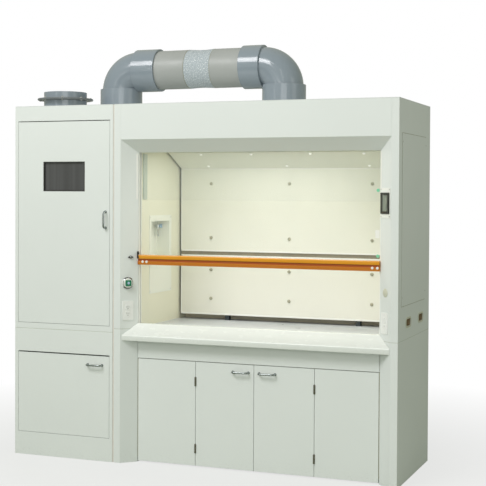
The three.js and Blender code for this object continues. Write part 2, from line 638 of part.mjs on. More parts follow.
const MONITOR = { along: 52, z: [1564, 1684], plateZ: [1539, 1712], width: 92, plateWidth: 104,
  thick: 8, screenHalf: 24, screenZ: [1581, 1670], screenDepth: 3 };
function airflowMonitor() {
  const { along, z, plateZ, width, plateWidth, thick, screenHalf, screenZ, screenDepth } = MONITOR;
  const plate = box([along - plateWidth / 2, along + plateWidth / 2], [-SHEET - GAP, -GAP], plateZ);
  const bezel = box([along - width / 2, along + width / 2], [-thick, -1], z);
  const screen = box([along - screenHalf, along + screenHalf], [-thick - 6, screenDepth - thick], screenZ);
  addPart(rightFace, 'airflow_monitor', cut(join(plate, bezel), screen), 'black');
}

// Round control knob with a square cap, on a spindle that passes through the post face.
function tapKnob() {
  const rim = rod(TAP.radius, [1, TAP.rim], 32);
  const face = rod(TAP.faceRadius, [TAP.rim - 1, TAP.face], 32);
  const spindle = rod(TAP.spindle, [-25, 5], 12);
  const cap = box([-TAP.cap, TAP.cap], [-TAP.cap, TAP.cap], [TAP.face - 1, TAP.proud]);
  const knob = addPart(leftFace, 'tap_knob', join(rim, face, spindle, cap), 'green');
  knob.rotation.x = Math.PI / 2;
  knob.position.set(TAP.along, 0, TAP.z);
}

// Small selector with a square head that stands on its corner.
function selectorKnob() {
  const half = SELECTOR.side / 2;
  const head = box([-half, half], [-half, half], [1, SELECTOR.proud]).rotateZ(Math.PI / 4);
  const spindle = rod(SELECTOR.spindle, [-20, 5], 12);
  const knob = addPart(leftFace, 'selector_knob', join(head, spindle), 'black');
  knob.rotation.x = Math.PI / 2;
  knob.position.set(SELECTOR.along, 0, SELECTOR.z);
}

// ---------------------------------------------------------------------------------------------
// Scrubber cabinet
// ---------------------------------------------------------------------------------------------
const SCRUBBER_X = [0, SCRUBBER_WIDTH];
const SCRUBBER_Y = [0, DEPTH];
const INSIDE_X = [SHEET, SCRUBBER_WIDTH - SHEET];
const INSIDE_Y = [SHEET, DEPTH - SHEET];

// Welded case with a doorway in front whose edges turn in to form a jamb.
function casing(name, z, doorway, hollows) {
  const jambDepth = 24;
  const grow = ([low, high]) => [low - SHEET, high + SHEET];
  const shell = cut(box(SCRUBBER_X, SCRUBBER_Y, z), ...hollows);
  const jamb = box(grow(doorway.x), [1, jambDepth], grow(doorway.z));
  const way = box(doorway.x, [-1, jambDepth + 1], doorway.z);
  addPart(scrubber, name, cut(join(shell, jamb), way), 'casing');
}

function casings() {
  const upperFloor = SCRUBBER_SEAM + SEAM_GAP;
  const upperZ = [upperFloor, ROOF_BOTTOM - GAP];
  const doorX = [STILE, UPPER_DOOR.x[1] + 2];
  const doorway = { x: doorX, z: [UPPER_DOOR.z[0] - 2, UPPER_DOOR.z[1] + UPPER_DOOR_HEAD] };
  const upperRoom = box(INSIDE_X, INSIDE_Y, [upperFloor + SHEET, HEIGHT + 10]);
  casing('scrubber_upper_casing', upperZ, doorway, [upperRoom]);
  const floor = LOWER_DOOR.z[0] - 4;
  const lowerDoorway = {
    x: [LOWER_DOOR.x[0] - 2, LOWER_DOOR.x[1] + 2],
    z: [LOWER_DOOR.z[0] - 2, LOWER_DOOR.z[1] + LOWER_DOOR_HEAD],
  };
  const lowerRoom = box(INSIDE_X, INSIDE_Y, [floor, HEIGHT]);
  const plinth = box(INSIDE_X, INSIDE_Y, [-10, floor - SHEET]);
  casing('scrubber_lower_casing', [0, SCRUBBER_SEAM], lowerDoorway, [lowerRoom, plinth]);
}

function scrubberRoof() {
  const z = [ROOF_BOTTOM - 5, HEIGHT + 5];
  const exhaust = rod(COLLAR_RADIUS + 1, z, 32).translate(EXHAUST.x, EXHAUST.y, 0);
  const inlet = rod(BEND_OUTER + 1.5, z).translate(SCRUBBER_DUCT_X, DUCT_Y, 0);
  const sheet = box(SCRUBBER_X, SCRUBBER_Y, [ROOF_BOTTOM, HEIGHT]);
  addPart(scrubber, 'scrubber_roof', cut(sheet, exhaust, inlet), 'casing');
}

function scrubberDoors() {
  const depth = 20;
  const upper = pan(UPPER_DOOR.x, 0, UPPER_DOOR.z, depth);
  const hole = box(WINDOW.x, [-1, 10], WINDOW.z);
  addPart(scrubber, 'upper_door', cut(upper, hole), 'casing');
  addPart(scrubber, 'lower_door', pan(LOWER_DOOR.x, 0, LOWER_DOOR.z, depth), 'casing');
}

// Window: a shallow frame set in the door's hole, with the pane at its back.
function upperWindow() {
  const shrink = ([low, high], by) => [low + by, high - by];
  const block = box(shrink(WINDOW.x, GAP), [GAP, WINDOW_DEPTH + 4], shrink(WINDOW.z, GAP));
  const pocket = box(shrink(WINDOW.x, 4), [-1, WINDOW_DEPTH], shrink(WINDOW.z, 4));
  addPart(scrubber, 'upper_window', cut(block, pocket), 'pane');
}

function scrubberHandles() {
  const upper = addPart(scrubber, 'upper_handle', bowHandle().rotateY(Math.PI / 2), 'chrome');
  upper.position.set(UPPER_HANDLE.x, 0, UPPER_HANDLE.z);
  const lower = addPart(scrubber, 'lower_handle', bowHandle(), 'chrome');
  lower.position.set(LOWER_HANDLE.x, 0, LOWER_HANDLE.z);
}

// Filter cartridge: an open-topped box divided into cells for the packing.
const FILTER = { x: [30, 670], y: [60, 770], z: [1000, 1300], wall: 6, cells: 3 };
function filterCartridge() {
  const { x, y, z, wall, cells } = FILTER;
  const pitch = (x[1] - x[0] - wall) / cells;
  const pockets = Array.from({ length: cells }, (_, i) => {
    const start = x[0] + wall + i * pitch;
    return box([start, start + pitch - wall], [y[0] + wall, y[1] - wall], [z[0] + wall, z[1] + 1]);
  });
  addPart(scrubber, 'filter_cartridge', cut(box(x, y, z), ...pockets), 'filter');
}

// ---------------------------------------------------------------------------------------------
// Scrubber: fan and exhaust collar, turned about the exhaust axis
// ---------------------------------------------------------------------------------------------
const FAN = { bottom: 1960, wall: 3, flange: 30, motor: 48, motorZ: [2055, 2160], armZ: [2090, 2100],
  armHalf: 10 };
const FAN_BORE = COLLAR_RADIUS + 2;
const fanAxis = new THREE.Group();
fanAxis.position.set(EXHAUST.x, EXHAUST.y, 0);
scrubber.add(fanAxis);

function fanHousing() {
  const top = ROOF_BOTTOM - GAP;
  const under = top - FAN.wall - 1;
  const outer = FAN_BORE + FAN.wall;
  const rim = outer + FAN.flange;
  const tube = revolve([[FAN_BORE, FAN.bottom], [outer, FAN.bottom], [outer, under], [rim, under],
    [rim, top], [FAN_BORE, top]]);
  const arm = box([-FAN_BORE - 1, FAN_BORE + 1], [-FAN.armHalf, FAN.armHalf], FAN.armZ);
  const motor = rod(FAN.motor, FAN.motorZ, 16);
  addPart(fanAxis, 'fan_housing', join(tube, arm, motor), 'fan');
}

const IMPELLER = { blades: 6, root: 30, tip: FAN_BORE - 8, half: 28, thin: 2, pitch: Math.PI / 5, z: 2010,
  hub: 38, hubZ: [1985, 2050] };
function fanImpeller() {
  const { root, tip, half, thin, pitch, z, hub, hubZ } = IMPELLER;
  const blades = Array.from({ length: IMPELLER.blades }, (_, i) => {
    const blade = box([root, tip], [-thin, thin], [-half, half]);
    return blade.rotateX(pitch).rotateZ(i * 2 * Math.PI / IMPELLER.blades).translate(0, 0, z);
  });
  addPart(fanAxis, 'fan_impeller', join(rod(hub, hubZ, 16), ...blades), 'black');
}

function exhaustCollar() {
  const inner = COLLAR_RADIUS - COLLAR_WALL;
  const [bottom, top] = COLLAR_Z;
  const [under, over] = FLANGE_Z;
  const profile = [[inner, bottom], [COLLAR_RADIUS, bottom], [COLLAR_RADIUS, under], [FLANGE_RADIUS, under],
    [FLANGE_RADIUS, over], [COLLAR_RADIUS, over], [COLLAR_RADIUS, top], [inner, top]];
  addPart(fanAxis, 'exhaust_collar', revolve(profile, 32), 'pvcDark');
}

// ---------------------------------------------------------------------------------------------
// Duct, drawn in the scrubber's frame
// ---------------------------------------------------------------------------------------------
const duct = new THREE.Group();
duct.position.set(0, DUCT_Y, DUCT_Z);
scrubber.add(duct);

// Socket from its root at z = 0 to its rim.
function bell(length) {
  return revolve([[BEND_INNER + 1.5, 0], [BELL_OUTER, 0], [BELL_OUTER, length], [BELL_INNER, length],
    [BELL_INNER, BELL_ROOT], [BEND_INNER + 1.5, BELL_ROOT]]);
}

// Quarter circle in the XZ plane, rising from under the origin and levelling out towards +X.
class QuarterTurn extends THREE.Curve {
  getPoint(t) {
    const angle = t * Math.PI / 2;
    return new THREE.Vector3(1 - Math.cos(angle), 0, Math.sin(angle) - 1).multiplyScalar(BEND_RADIUS);
  }

  getTangent(t) {
    const angle = t * Math.PI / 2;
    return new THREE.Vector3(Math.sin(angle), 0, Math.cos(angle));
  }
}

// Elbow with its vertical leg under the origin and its horizontal leg towards +X (or -X).
function elbow(towards, footZ, bellEnd) {
  const path = new QuarterTurn();
  const ring = new THREE.Shape().absarc(0, 0, BEND_OUTER, 0, 2 * Math.PI);
  ring.holes.push(new THREE.Path().absarc(0, 0, BEND_INNER, 0, 2 * Math.PI, true));
  const bend = new THREE.ExtrudeGeometry(ring, { extrudePath: path, steps: 7, curveSegments: SEGMENTS / 2 });
  const inner = BEND_INNER + 0.4;
  const outer = BEND_OUTER - 0.4;
  const low = footZ - DUCT_Z;
  const high = 5 - BEND_RADIUS;
  const spigot = revolve([[inner, low], [outer, low], [outer, high], [inner, high]]);
  const length = STANDING_BELL_TOP - HEIGHT - 1;
  const standing = bell(length).rotateX(Math.PI).translate(0, 0, STANDING_BELL_TOP - DUCT_Z);
  const lying = bell(bellEnd - BELL_START).rotateY(Math.PI / 2).translate(BELL_START, 0, 0);
  const whole = join(bend, spigot, standing, lying);
  return towards > 0 ? whole : whole.rotateZ(Math.PI);
}

function elbows() {
  const left = addPart(duct, 'scrubber_elbow', elbow(1, SCRUBBER_FOOT, SCRUBBER_BELL_END), 'pvcDark');
  left.position.x = SCRUBBER_DUCT_X;
  const right = addPart(duct, 'hood_elbow', elbow(-1, CEILING + 1, HOOD_BELL_END), 'pvcDark');
  right.position.x = HOOD_DUCT_X;
}

function pipe(name, [x0, x1], outer, inner, finish) {
  const tube = revolve([[inner, x0], [outer, x0], [outer, x1], [inner, x1]]).rotateY(Math.PI / 2);
  addPart(duct, name, tube, finish);
}

function pipes() {
  const root = BELL_START + BELL_ROOT + 1;
  pipe('duct_pipe_left', [SCRUBBER_DUCT_X + root, SLEEVE[0] - GAP], PIPE_OUTER, PIPE_INNER, 'pvcLight');
  pipe('duct_pipe_right', [SLEEVE[1] + GAP, HOOD_DUCT_X - root], PIPE_OUTER, PIPE_INNER, 'pvcLight');
  pipe('flexible_connector', SLEEVE, PIPE_OUTER - 1, PIPE_INNER - 1, 'sleeve');
}

// ---------------------------------------------------------------------------------------------
// Assembly
// ---------------------------------------------------------------------------------------------
baseSides();
baseFloor();
apron();
basePanels();
baseDoors();
baseFrame();
baseHandles();
sideSkinLeft();
sideSkinRight();
accessPanel();
header();
hoodRoof();
rearPanel();
workSurface();
sillLedge();
liners();
serviceNiche();
gasCock();
gasCockKnob();
ceilingPanel();
lampHousing();
baffles();
baffleFrame();
upperGlass();
sashGuides();
sashGlass();
sashBar();
counterweights();
sashAxle();
outlets();
airflowMonitor();
tapKnob();
selectorKnob();
casings();
scrubberRoof();
scrubberDoors();
upperWindow();
scrubberHandles();
filterCartridge();
fanHousing();
fanImpeller();
exhaustCollar();
elbows();
pipes();

export default fumeHood;
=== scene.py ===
"""Looks of the fume hood and its scrubber cabinet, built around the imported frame.

Blender works in metres with +Z up. Shapes are drawn in millimetres in the frame of the unit
they belong to, and are scaled as they are placed.
"""
import json
import math

import bmesh
import bpy
from mathutils import Matrix, Vector, noise
from mathutils.bvhtree import BVHTree


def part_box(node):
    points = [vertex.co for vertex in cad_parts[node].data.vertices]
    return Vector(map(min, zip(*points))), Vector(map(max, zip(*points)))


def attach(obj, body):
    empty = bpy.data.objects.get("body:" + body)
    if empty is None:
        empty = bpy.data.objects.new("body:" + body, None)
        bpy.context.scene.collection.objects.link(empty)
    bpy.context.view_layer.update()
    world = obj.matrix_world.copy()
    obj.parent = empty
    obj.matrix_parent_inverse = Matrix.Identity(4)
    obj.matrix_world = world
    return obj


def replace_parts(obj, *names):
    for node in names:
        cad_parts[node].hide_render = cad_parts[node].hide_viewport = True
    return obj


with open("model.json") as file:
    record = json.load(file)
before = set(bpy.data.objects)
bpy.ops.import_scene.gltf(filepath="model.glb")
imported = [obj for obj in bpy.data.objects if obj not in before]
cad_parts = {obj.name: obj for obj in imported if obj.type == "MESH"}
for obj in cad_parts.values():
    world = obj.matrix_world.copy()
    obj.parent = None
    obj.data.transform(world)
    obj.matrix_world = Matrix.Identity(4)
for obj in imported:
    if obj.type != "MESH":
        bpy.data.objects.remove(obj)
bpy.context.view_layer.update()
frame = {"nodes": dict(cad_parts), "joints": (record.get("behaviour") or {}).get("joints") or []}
nodes = frame["nodes"]

# ---- Places ----
MM = 0.001
SCALE = Matrix.Scale(MM, 4)


def corner_frame(node):
    """Millimetre frame whose origin is on the floor under the low corner of a roof sheet."""
    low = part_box(node)[0]
    return Matrix.Translation((low.x, low.y, 0)) @ SCALE


def turned(angle, axis):
    return Matrix.Rotation(angle, 4, axis)


def moved(x, y, z):
    return Matrix.Translation((x, y, z))


HOOD = corner_frame("hood_roof")
SCRUBBER = corner_frame("scrubber_roof")


def in_frame(place, node):
    """Low and high corner of a CAD node, in millimetres in an upright frame."""
    back = place.inverted()
    low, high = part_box(node)
    return back @ low, back @ high


HOOD_WIDTH = in_frame(HOOD, "hood_roof")[1].x
POST_STRIP = 43
POST_INNER = in_frame(HOOD, "liner_left")[0].x
POST_DEPTH = in_frame(HOOD, "apron_panel")[0].y
SLANT = math.atan2(POST_DEPTH, POST_INNER - POST_STRIP)
SLANT_LENGTH = math.hypot(POST_DEPTH, POST_INNER - POST_STRIP)
LEFT_FACE = HOOD @ moved(POST_STRIP, 0, 0) @ turned(SLANT, "Z")
RIGHT_FACE = HOOD @ moved(HOOD_WIDTH - POST_INNER, POST_DEPTH, 0) @ turned(-SLANT, "Z")
FACING_FRONT = turned(math.pi / 2, "X")
FACING_RIGHT = turned(math.pi / 2, "Y")


def mirrored(x):
    return HOOD_WIDTH - x


# ---- Camera, light and floor ----
CAMERA = {"place": (2.8733, -6.9580, 1.6752), "yaw": 0.3715, "pitch": 0.0188, "roll": 0.0048,
          "lens": 88.12, "shift_y": -0.0556}
WHITE = (1.0, 1.0, 1.0, 1.0)


def make_camera():
    data = bpy.data.cameras.new("Camera")
    data.sensor_width = 36
    data.lens = CAMERA["lens"]
    data.shift_y = CAMERA["shift_y"]
    camera = bpy.data.objects.new("Camera", data)
    bpy.context.scene.collection.objects.link(camera)
    aim = turned(CAMERA["yaw"], "Z") @ turned(math.pi / 2 - CAMERA["pitch"], "X")
    camera.matrix_world = Matrix.Translation(CAMERA["place"]) @ aim @ turned(CAMERA["roll"], "Z")
    bpy.context.scene.camera = camera


def area_light(name, place, target, size, power, colour=(1, 1, 1)):
    data = bpy.data.lights.new(name, "AREA")
    data.shape = "RECTANGLE"
    data.size, data.size_y = size
    data.energy = power
    data.color = colour
    light = bpy.data.objects.new(name, data)
    light.location = place
    direction = Vector(target) - Vector(place)
    light.rotation_euler = direction.to_track_quat("-Z", "Y").to_euler()
    bpy.context.scene.collection.objects.link(light)


def make_lights():
    area_light("KeyLight", (-2.1, -5.2, 6.1), (0.1, 0.0, 1.5), (3.6, 2.6), 240, (1.0, 0.985, 1.0))
    area_light("FrontFill", (2.7, -7.0, 1.9), (0.1, 0.0, 1.3), (4.0, 2.5), 66)
    area_light("StripHigh", (-1.0, -4.2, 5.6), (0.0, 0.2, 2.4), (3.4, 0.12), 9)
    area_light("StripRight", (1.9, -5.6, 4.4), (0.9, 0.2, 2.4), (0.12, 2.4), 7)
    area_light("StripLeft", (-2.9, -5.2, 3.2), (-0.5, 0.2, 2.4), (0.1, 2.4), 6)
    area_light("SideFill", (5.2, -1.2, 3.4), (1.2, 0.0, 1.7), (2.0, 2.0), 9)
    area_light("StripLow", (-0.4, -6.4, 3.2), (-0.3, 0.2, 2.4), (3.0, 0.12), 5)
    low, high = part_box("lamp_housing")
    middle = (low + high) / 2
    under = (middle.x, middle.y, low.z)
    area_light("HoodLamp", under, (middle.x, middle.y + 0.12, 0.0), (0.95, 0.09), 3.5, (1.0, 0.98, 0.93))


def make_world():
    world = bpy.data.worlds.new("Studio")
    world.use_nodes = True
    tree = world.node_tree
    tree.nodes.clear()
    seen = tree.nodes.new("ShaderNodeBackground")
    seen.inputs["Color"].default_value = WHITE
    ambient = tree.nodes.new("ShaderNodeBackground")
    ambient.inputs["Color"].default_value = (0.95, 1.0, 0.85, 1)
    ambient.inputs["Strength"].default_value = 0.43
    path = tree.nodes.new("ShaderNodeLightPath")
    mix = tree.nodes.new("ShaderNodeMixShader")
    out = tree.nodes.new("ShaderNodeOutputWorld")
    tree.links.new(path.outputs["Is Camera Ray"], mix.inputs["Fac"])
    tree.links.new(ambient.outputs["Background"], mix.inputs[1])
    tree.links.new(seen.outputs["Background"], mix.inputs[2])
    tree.links.new(mix.outputs["Shader"], out.inputs["Surface"])
    bpy.context.scene.world = world


def make_floor():
    """Pale floor that takes a soft shadow near the object and fades to white further out."""
    half = 30.0
    mesh = bpy.data.meshes.new("StudioFloor")
    corners = [(-half, -half, 0), (half, -half, 0), (half, half, 0), (-half, half, 0)]
    mesh.from_pydata(corners, [], [(0, 1, 2, 3)])
    floor = bpy.data.objects.new("StudioFloor", mesh)
    bpy.context.scene.collection.objects.link(floor)
    finish = Finish("StudioFloor", roughness=0.8)
    finish.set("Base Color", (0.37, 0.40, 0.33, 1))
    glow = finish.add("ShaderNodeEmission", {"Color": WHITE})
    away = finish.add("ShaderNodeVectorMath", {0: finish.place}, operation="LENGTH").outputs["Value"]
    share = finish.remap(away, 1.2, 3.5, 0.72, 1.0)
    seen = finish.add("ShaderNodeLightPath").outputs["Is Camera Ray"]
    amount = finish.maths("MULTIPLY", share, seen)
    shader = finish.shader.outputs["BSDF"]
    mix = finish.add("ShaderNodeMixShader", {0: amount, 1: shader, 2: glow.outputs["Emission"]})
    out = finish.tree.nodes["Material Output"]
    finish.tree.links.new(mix.outputs["Shader"], out.inputs["Surface"])
    mesh.materials.append(finish.material)


# ---- Materials ----
class Finish:
    """One material and short names for the nodes that make it. Patterns are in object metres."""

    def __init__(self, name, roughness=0.4, metallic=0.0, coat=0.0):
        self.material = bpy.data.materials.new(name)
        self.material.use_nodes = True
        self.tree = self.material.node_tree
        self.shader = self.tree.nodes["Principled BSDF"]
        self.place = self.tree.nodes.new("ShaderNodeTexCoord").outputs["Object"]
        self.set("Roughness", roughness)
        self.set("Metallic", metallic)
        self.set("Coat Weight", coat)

    def set(self, socket, value):
        self.shader.inputs[socket].default_value = value

    def add(self, kind, inputs=None, **settings):
        node = self.tree.nodes.new(kind)
        for name, value in settings.items():
            setattr(node, name, value)
        for socket, value in (inputs or {}).items():
            if isinstance(value, bpy.types.NodeSocket):
                self.tree.links.new(value, node.inputs[socket])
            else:
                node.inputs[socket].default_value = value
        return node

    def feed(self, socket, source):
        self.tree.links.new(source, self.shader.inputs[socket])

    def noise(self, scale, detail=2.0, stretch=(1, 1, 1)):
        place = self.add("ShaderNodeMapping", {"Vector": self.place, "Scale": stretch})
        inputs = {"Vector": place.outputs["Vector"], "Scale": scale, "Detail": detail}
        return self.add("ShaderNodeTexNoise", inputs).outputs["Fac"]

    def remap(self, value, low, high, to_low=0.0, to_high=1.0):
        inputs = {"Value": value, "From Min": low, "From Max": high, "To Min": to_low, "To Max": to_high}
        return self.add("ShaderNodeMapRange", inputs).outputs["Result"]

    def maths(self, operation, first, second=0.0):
        return self.add("ShaderNodeMath", {0: first, 1: second}, operation=operation).outputs[0]

    def blend(self, amount, first, second):
        node = self.add("ShaderNodeMix", {0: amount, 6: first, 7: second}, data_type="RGBA")
        return node.outputs[2]

    def patches(self, scale, detail, low, high, stretch=(1, 1, 1), to_low=0.0, to_high=1.0):
        return self.remap(self.noise(scale, detail, stretch), low, high, to_low, to_high)

    def tint(self, tone, mask, strength, colour):
        return self.blend(self.maths("MULTIPLY", mask, strength), tone, colour)

    def grain(self, scale, depth, detail=2.0, stretch=(1, 1, 1)):
        self.feed("Normal", self.bump(self.noise(scale, detail, stretch), depth))

    def polish(self, mask, low, high):
        self.feed("Roughness", self.remap(mask, 0.0, 1.0, low, high))

    def height(self):
        return self.add("ShaderNodeSeparateXYZ", {0: self.place}).outputs["Z"]

    def facing_up(self):
        normal = self.add("ShaderNodeNewGeometry").outputs["Normal"]
        return self.add("ShaderNodeSeparateXYZ", {0: normal}).outputs["Z"]

    def bump(self, height, depth, normal=None):
        inputs = {"Height": height, "Strength": 1.0, "Distance": depth}
        if normal is not None:
            inputs["Normal"] = normal
        return self.add("ShaderNodeBump", inputs).outputs["Normal"]


def shade(colour, factor):
    return tuple(min(1.0, c * factor) for c in colour[:3]) + (1.0,)


def mottled(finish, colour, amount, scale):
    """Slow change of tone across a surface."""
    cloud = finish.patches(scale, 3.0, 0.3, 0.7)
    return finish.blend(cloud, shade(colour, 1 - amount), shade(colour, 1 + amount))


def varied_roughness(finish, low, high, scale):
    finish.feed("Roughness", finish.patches(scale, 4.0, 0.3, 0.7, to_low=low, to_high=high))


def dusty_top(finish, colour, dust, amount):
    """Thin dust on what faces up."""
    up = finish.remap(finish.facing_up(), 0.55, 1.0)
    patchy = finish.patches(9.0, 4.0, 0.35, 0.7, to_low=0.3, to_high=1.0)
    share = finish.maths("MULTIPLY", finish.maths("MULTIPLY", up, patchy), amount)
    return finish.blend(share, colour, dust)


def powder_coat(name, colour, floor_grime=0.0):
    """Satin powder coat: fine orange peel, slow tone change and a little scuffing low down."""
    finish = Finish(name, coat=0.08)
    finish.set("Coat Roughness", 0.25)
    tone = mottled(finish, colour, 0.012, 1.3)
    if floor_grime:
        low = finish.remap(finish.height(), 0.0, 0.10, 1.0, 0.0)
        scuffs = finish.patches(70.0, 6.0, 0.55, 0.78, (1, 1, 1.6))
        share = finish.maths("MULTIPLY", finish.maths("MULTIPLY", low, scuffs), floor_grime)
        tone = finish.blend(share, tone, (0.36, 0.36, 0.30, 1))
    tone = dusty_top(finish, tone, (0.62, 0.61, 0.55, 1), 0.12)
    finish.feed("Base Color", tone)
    varied_roughness(finish, 0.36, 0.48, 5.0)
    peel = finish.bump(finish.noise(620.0, 2.0), 0.00006)
    finish.feed("Normal", finish.bump(finish.noise(2.2, 1.0), 0.0004, peel))
    return finish.material


def enamel(name, colour):
    """Smooth bright enamel with wiping marks in its gloss."""
    finish = Finish(name, coat=0.35)
    finish.set("Coat Roughness", 0.12)
    wiped = finish.patches(30.0, 6.0, 0.58, 0.78, (0.6, 1.4, 1))
    tone = mottled(finish, colour, 0.01, 2.2)
    finish.feed("Base Color", finish.tint(tone, wiped, 0.03, (0.6, 0.61, 0.58, 1)))
    finish.polish(wiped, 0.26, 0.38)
    finish.grain(340.0, 0.00003)
    return finish.material


def board(name, colour, warmth):
    """Resin-faced chamber board: faint fibres, and slightly stained lower down."""
    finish = Finish(name)
    tone = mottled(finish, colour, 0.014, 2.4)
    low = finish.remap(finish.height(), 0.9, 1.9, 0.55, 0.0)
    tone = finish.blend(low, tone, warmth)
    fibres = finish.patches(210.0, 3.0, 0.35, 0.75, (1, 1, 0.12))
    tone = finish.tint(tone, fibres, 0.035, shade(colour, 0.8))
    finish.feed("Base Color", tone)
    varied_roughness(finish, 0.42, 0.55, 7.0)
    finish.feed("Normal", finish.bump(fibres, 0.00005))
    return finish.material


def cast_resin(name, colour):
    """Work surface: resin with fine light and dark flecks, and rubbed patches."""
    finish = Finish(name, coat=0.1)
    tone = mottled(finish, colour, 0.03, 1.8)
    flecks = finish.noise(520.0, 1.0)
    dark = finish.remap(flecks, 0.30, 0.38, 1.0, 0.0)
    light = finish.remap(flecks, 0.66, 0.72)
    tone = finish.tint(tone, dark, 0.35, shade(colour, 0.45))
    tone = finish.tint(tone, light, 0.3, shade(colour, 1.45))
    finish.feed("Base Color", tone)
    varied_roughness(finish, 0.26, 0.42, 4.0)
    finish.grain(300.0, 0.00005, 3.0)
    return finish.material


def moulded(name, colour, roughness, grain=0.00005, coat=0.0, mottling=0.02):
    """Moulded or stoved plastic and paint with a fine grain."""
    finish = Finish(name, coat=coat)
    finish.set("Coat Roughness", 0.1)
    finish.feed("Base Color", mottled(finish, colour, mottling, 22.0))
    varied_roughness(finish, roughness * 0.85, roughness * 1.2, 30.0)
    finish.grain(900.0, grain)
    return finish.material


def drawn_pvc(name, colour, roughness, coat, along):
    """Extruded or moulded duct plastic: faint draw lines, dust on top and handling marks."""
    finish = Finish(name, coat=coat)
    finish.set("Coat Roughness", 0.08)
    tone = mottled(finish, colour, 0.025, 3.5)
    marks = finish.patches(30.0, 6.0, 0.6, 0.78, (1, 3, 1))
    tone = finish.tint(tone, marks, 0.12, shade(colour, 1.5))
    finish.feed("Base Color", dusty_top(finish, tone, (0.52, 0.52, 0.49, 1), 0.22))
    varied_roughness(finish, roughness * 0.8, roughness * 1.35, 8.0)
    finish.grain(160.0, 0.00012, stretch=along)
    return finish.material


def plated(name, colour, roughness):
    """Bright plating with polishing lines and finger marks."""
    finish = Finish(name, metallic=1.0)
    finish.feed("Base Color", mottled(finish, colour, 0.04, 40.0))
    prints = finish.patches(55.0, 5.0, 0.5, 0.7)
    finish.polish(prints, roughness, roughness * 2.6)
    finish.grain(700.0, 0.00002, stretch=(0.1, 1, 1))
    return finish.material


def bare_metal(name, colour, roughness, pits):
    """Cast or rolled metal with pitting and dull oxide patches."""
    finish = Finish(name, metallic=0.85)
    patch = finish.patches(24.0, 6.0, 0.45, 0.7)
    finish.feed("Base Color", finish.blend(patch, colour, shade(colour, 0.6)))
    finish.polish(patch, roughness, min(1.0, roughness * 1.5))
    finish.grain(240.0, pits, 4.0)
    return finish.material


def clear_glass(name, tint, alpha):
    """Toughened glass: thin reflection over what lies behind, with faint wiping haze."""
    finish = Finish(name, roughness=0.03)
    finish.set("Base Color", tint)
    finish.set("IOR", 1.5)
    haze = finish.patches(6.0, 5.0, 0.45, 0.8, (1, 1, 0.4), to_low=alpha, to_high=alpha * 1.5)
    finish.feed("Alpha", haze)
    streaks = finish.patches(14.0, 4.0, 0.4, 0.8, (1, 1, 0.2), to_low=0.02, to_high=0.09)
    finish.feed("Roughness", streaks)
    return finish.material


def stoved_orange(name, colour, worn):
    """Stoved paint on an extrusion: draw lines along the bar and rubbed patches."""
    finish = Finish(name, coat=0.25)
    finish.set("Coat Roughness", 0.15)
    rubbed = finish.patches(30.0, 6.0, 0.62, 0.76, (0.2, 2, 2))
    tone = mottled(finish, colour, 0.03, 4.0)
    finish.feed("Base Color", finish.tint(tone, rubbed, 0.35, worn))
    finish.polish(rubbed, 0.28, 0.45)
    finish.grain(400.0, 0.00004, stretch=(0.02, 1, 1))
    return finish.material


def rear_sheet(name, colour, inside):
    """Powder-coated rear sheet whose inner face, seen through the baffle slots, is darker and browner, and
    painted lighter low down as painted light.
    """
    finish = Finish(name)
    normal = finish.add("ShaderNodeNewGeometry").outputs["Normal"]
    towards_front = finish.add("ShaderNodeSeparateXYZ", {0: normal}).outputs["Y"]
    share = finish.remap(towards_front, -0.4, -0.6)
    low = finish.remap(finish.height(), 0.9, 1.0, 1.0, 0.0)
    # Inner face tone: darker and browner, and lighter below about 0.95 m as painted light for the dim lower
    # slot.
    stained = finish.blend(low, mottled(finish, inside, 0.12, 6.0), shade(inside, 2.0))
    finish.feed("Base Color", finish.blend(share, mottled(finish, colour, 0.012, 1.3), stained))
    varied_roughness(finish, 0.4, 0.55, 5.0)
    finish.grain(620.0, 0.00006)
    return finish.material


def rail_paint(name, colour, foot):
    """Olive-brown rail paint that is near black on the feet below the lower baffle."""
    finish = Finish(name)
    low = finish.remap(finish.height(), 0.94, 1.0, 1.0, 0.0)
    finish.feed("Base Color", finish.blend(low, mottled(finish, colour, 0.1, 12.0), foot))
    varied_roughness(finish, 0.6, 0.8, 14.0)
    finish.grain(500.0, 0.00006)
    return finish.material


def smoked_pane(name, colour):
    """Dark pane with faint upright bands of lighter and darker tone: a painted reflection."""
    finish = Finish(name, coat=0.6)
    finish.set("Coat Roughness", 0.06)
    # Upright bands in the pane's colour: a painted reflection.
    bands = finish.patches(34.0, 2.0, 0.35, 0.65, (1, 1, 0.02))
    finish.feed("Base Color", finish.blend(bands, shade(colour, 0.84), shade(colour, 1.12)))
    varied_roughness(finish, 0.12, 0.22, 12.0)
    finish.grain(5.0, 0.0003, 1.0)
    return finish.material


WEAVE_PITCH = 0.0042


def coated_cloth(name, colour):
    """Coated woven sleeve: warp and weft round the pipe, creases in the coating, and painted glints: bright
    specks painted into its colour as highlights.
    """
    finish = Finish(name)
    finish.set("Sheen Weight", 0.25)
    finish.place = finish.add("ShaderNodeUVMap", uv_map="Wrap").outputs["UV"]
    bands = {}
    for direction in ("X", "Y"):
        inputs = {"Vector": finish.place, "Scale": 0.314 / WEAVE_PITCH, "Distortion": 0.6, "Detail": 1.0}
        wave = finish.add("ShaderNodeTexWave", inputs, bands_direction=direction)
        bands[direction] = wave.outputs["Fac"]
    weave = finish.maths("MULTIPLY", bands["X"], bands["Y"])
    # Bright specks mixed into the colour below are painted glints, a painted highlight.
    painted_glints = finish.patches(150.0, 1.0, 0.56, 0.62)
    tone = finish.blend(finish.remap(weave, 0.1, 0.8), shade(colour, 0.78), shade(colour, 1.12))
    tone = finish.tint(tone, painted_glints, 0.6, (0.95, 0.97, 0.97, 1))
    finish.feed("Base Color", tone)
    finish.polish(painted_glints, 0.62, 0.34)
    creases = finish.bump(finish.noise(26.0, 4.0), 0.0022)
    finish.feed("Normal", finish.bump(weave, 0.0006, creases))
    return finish.material


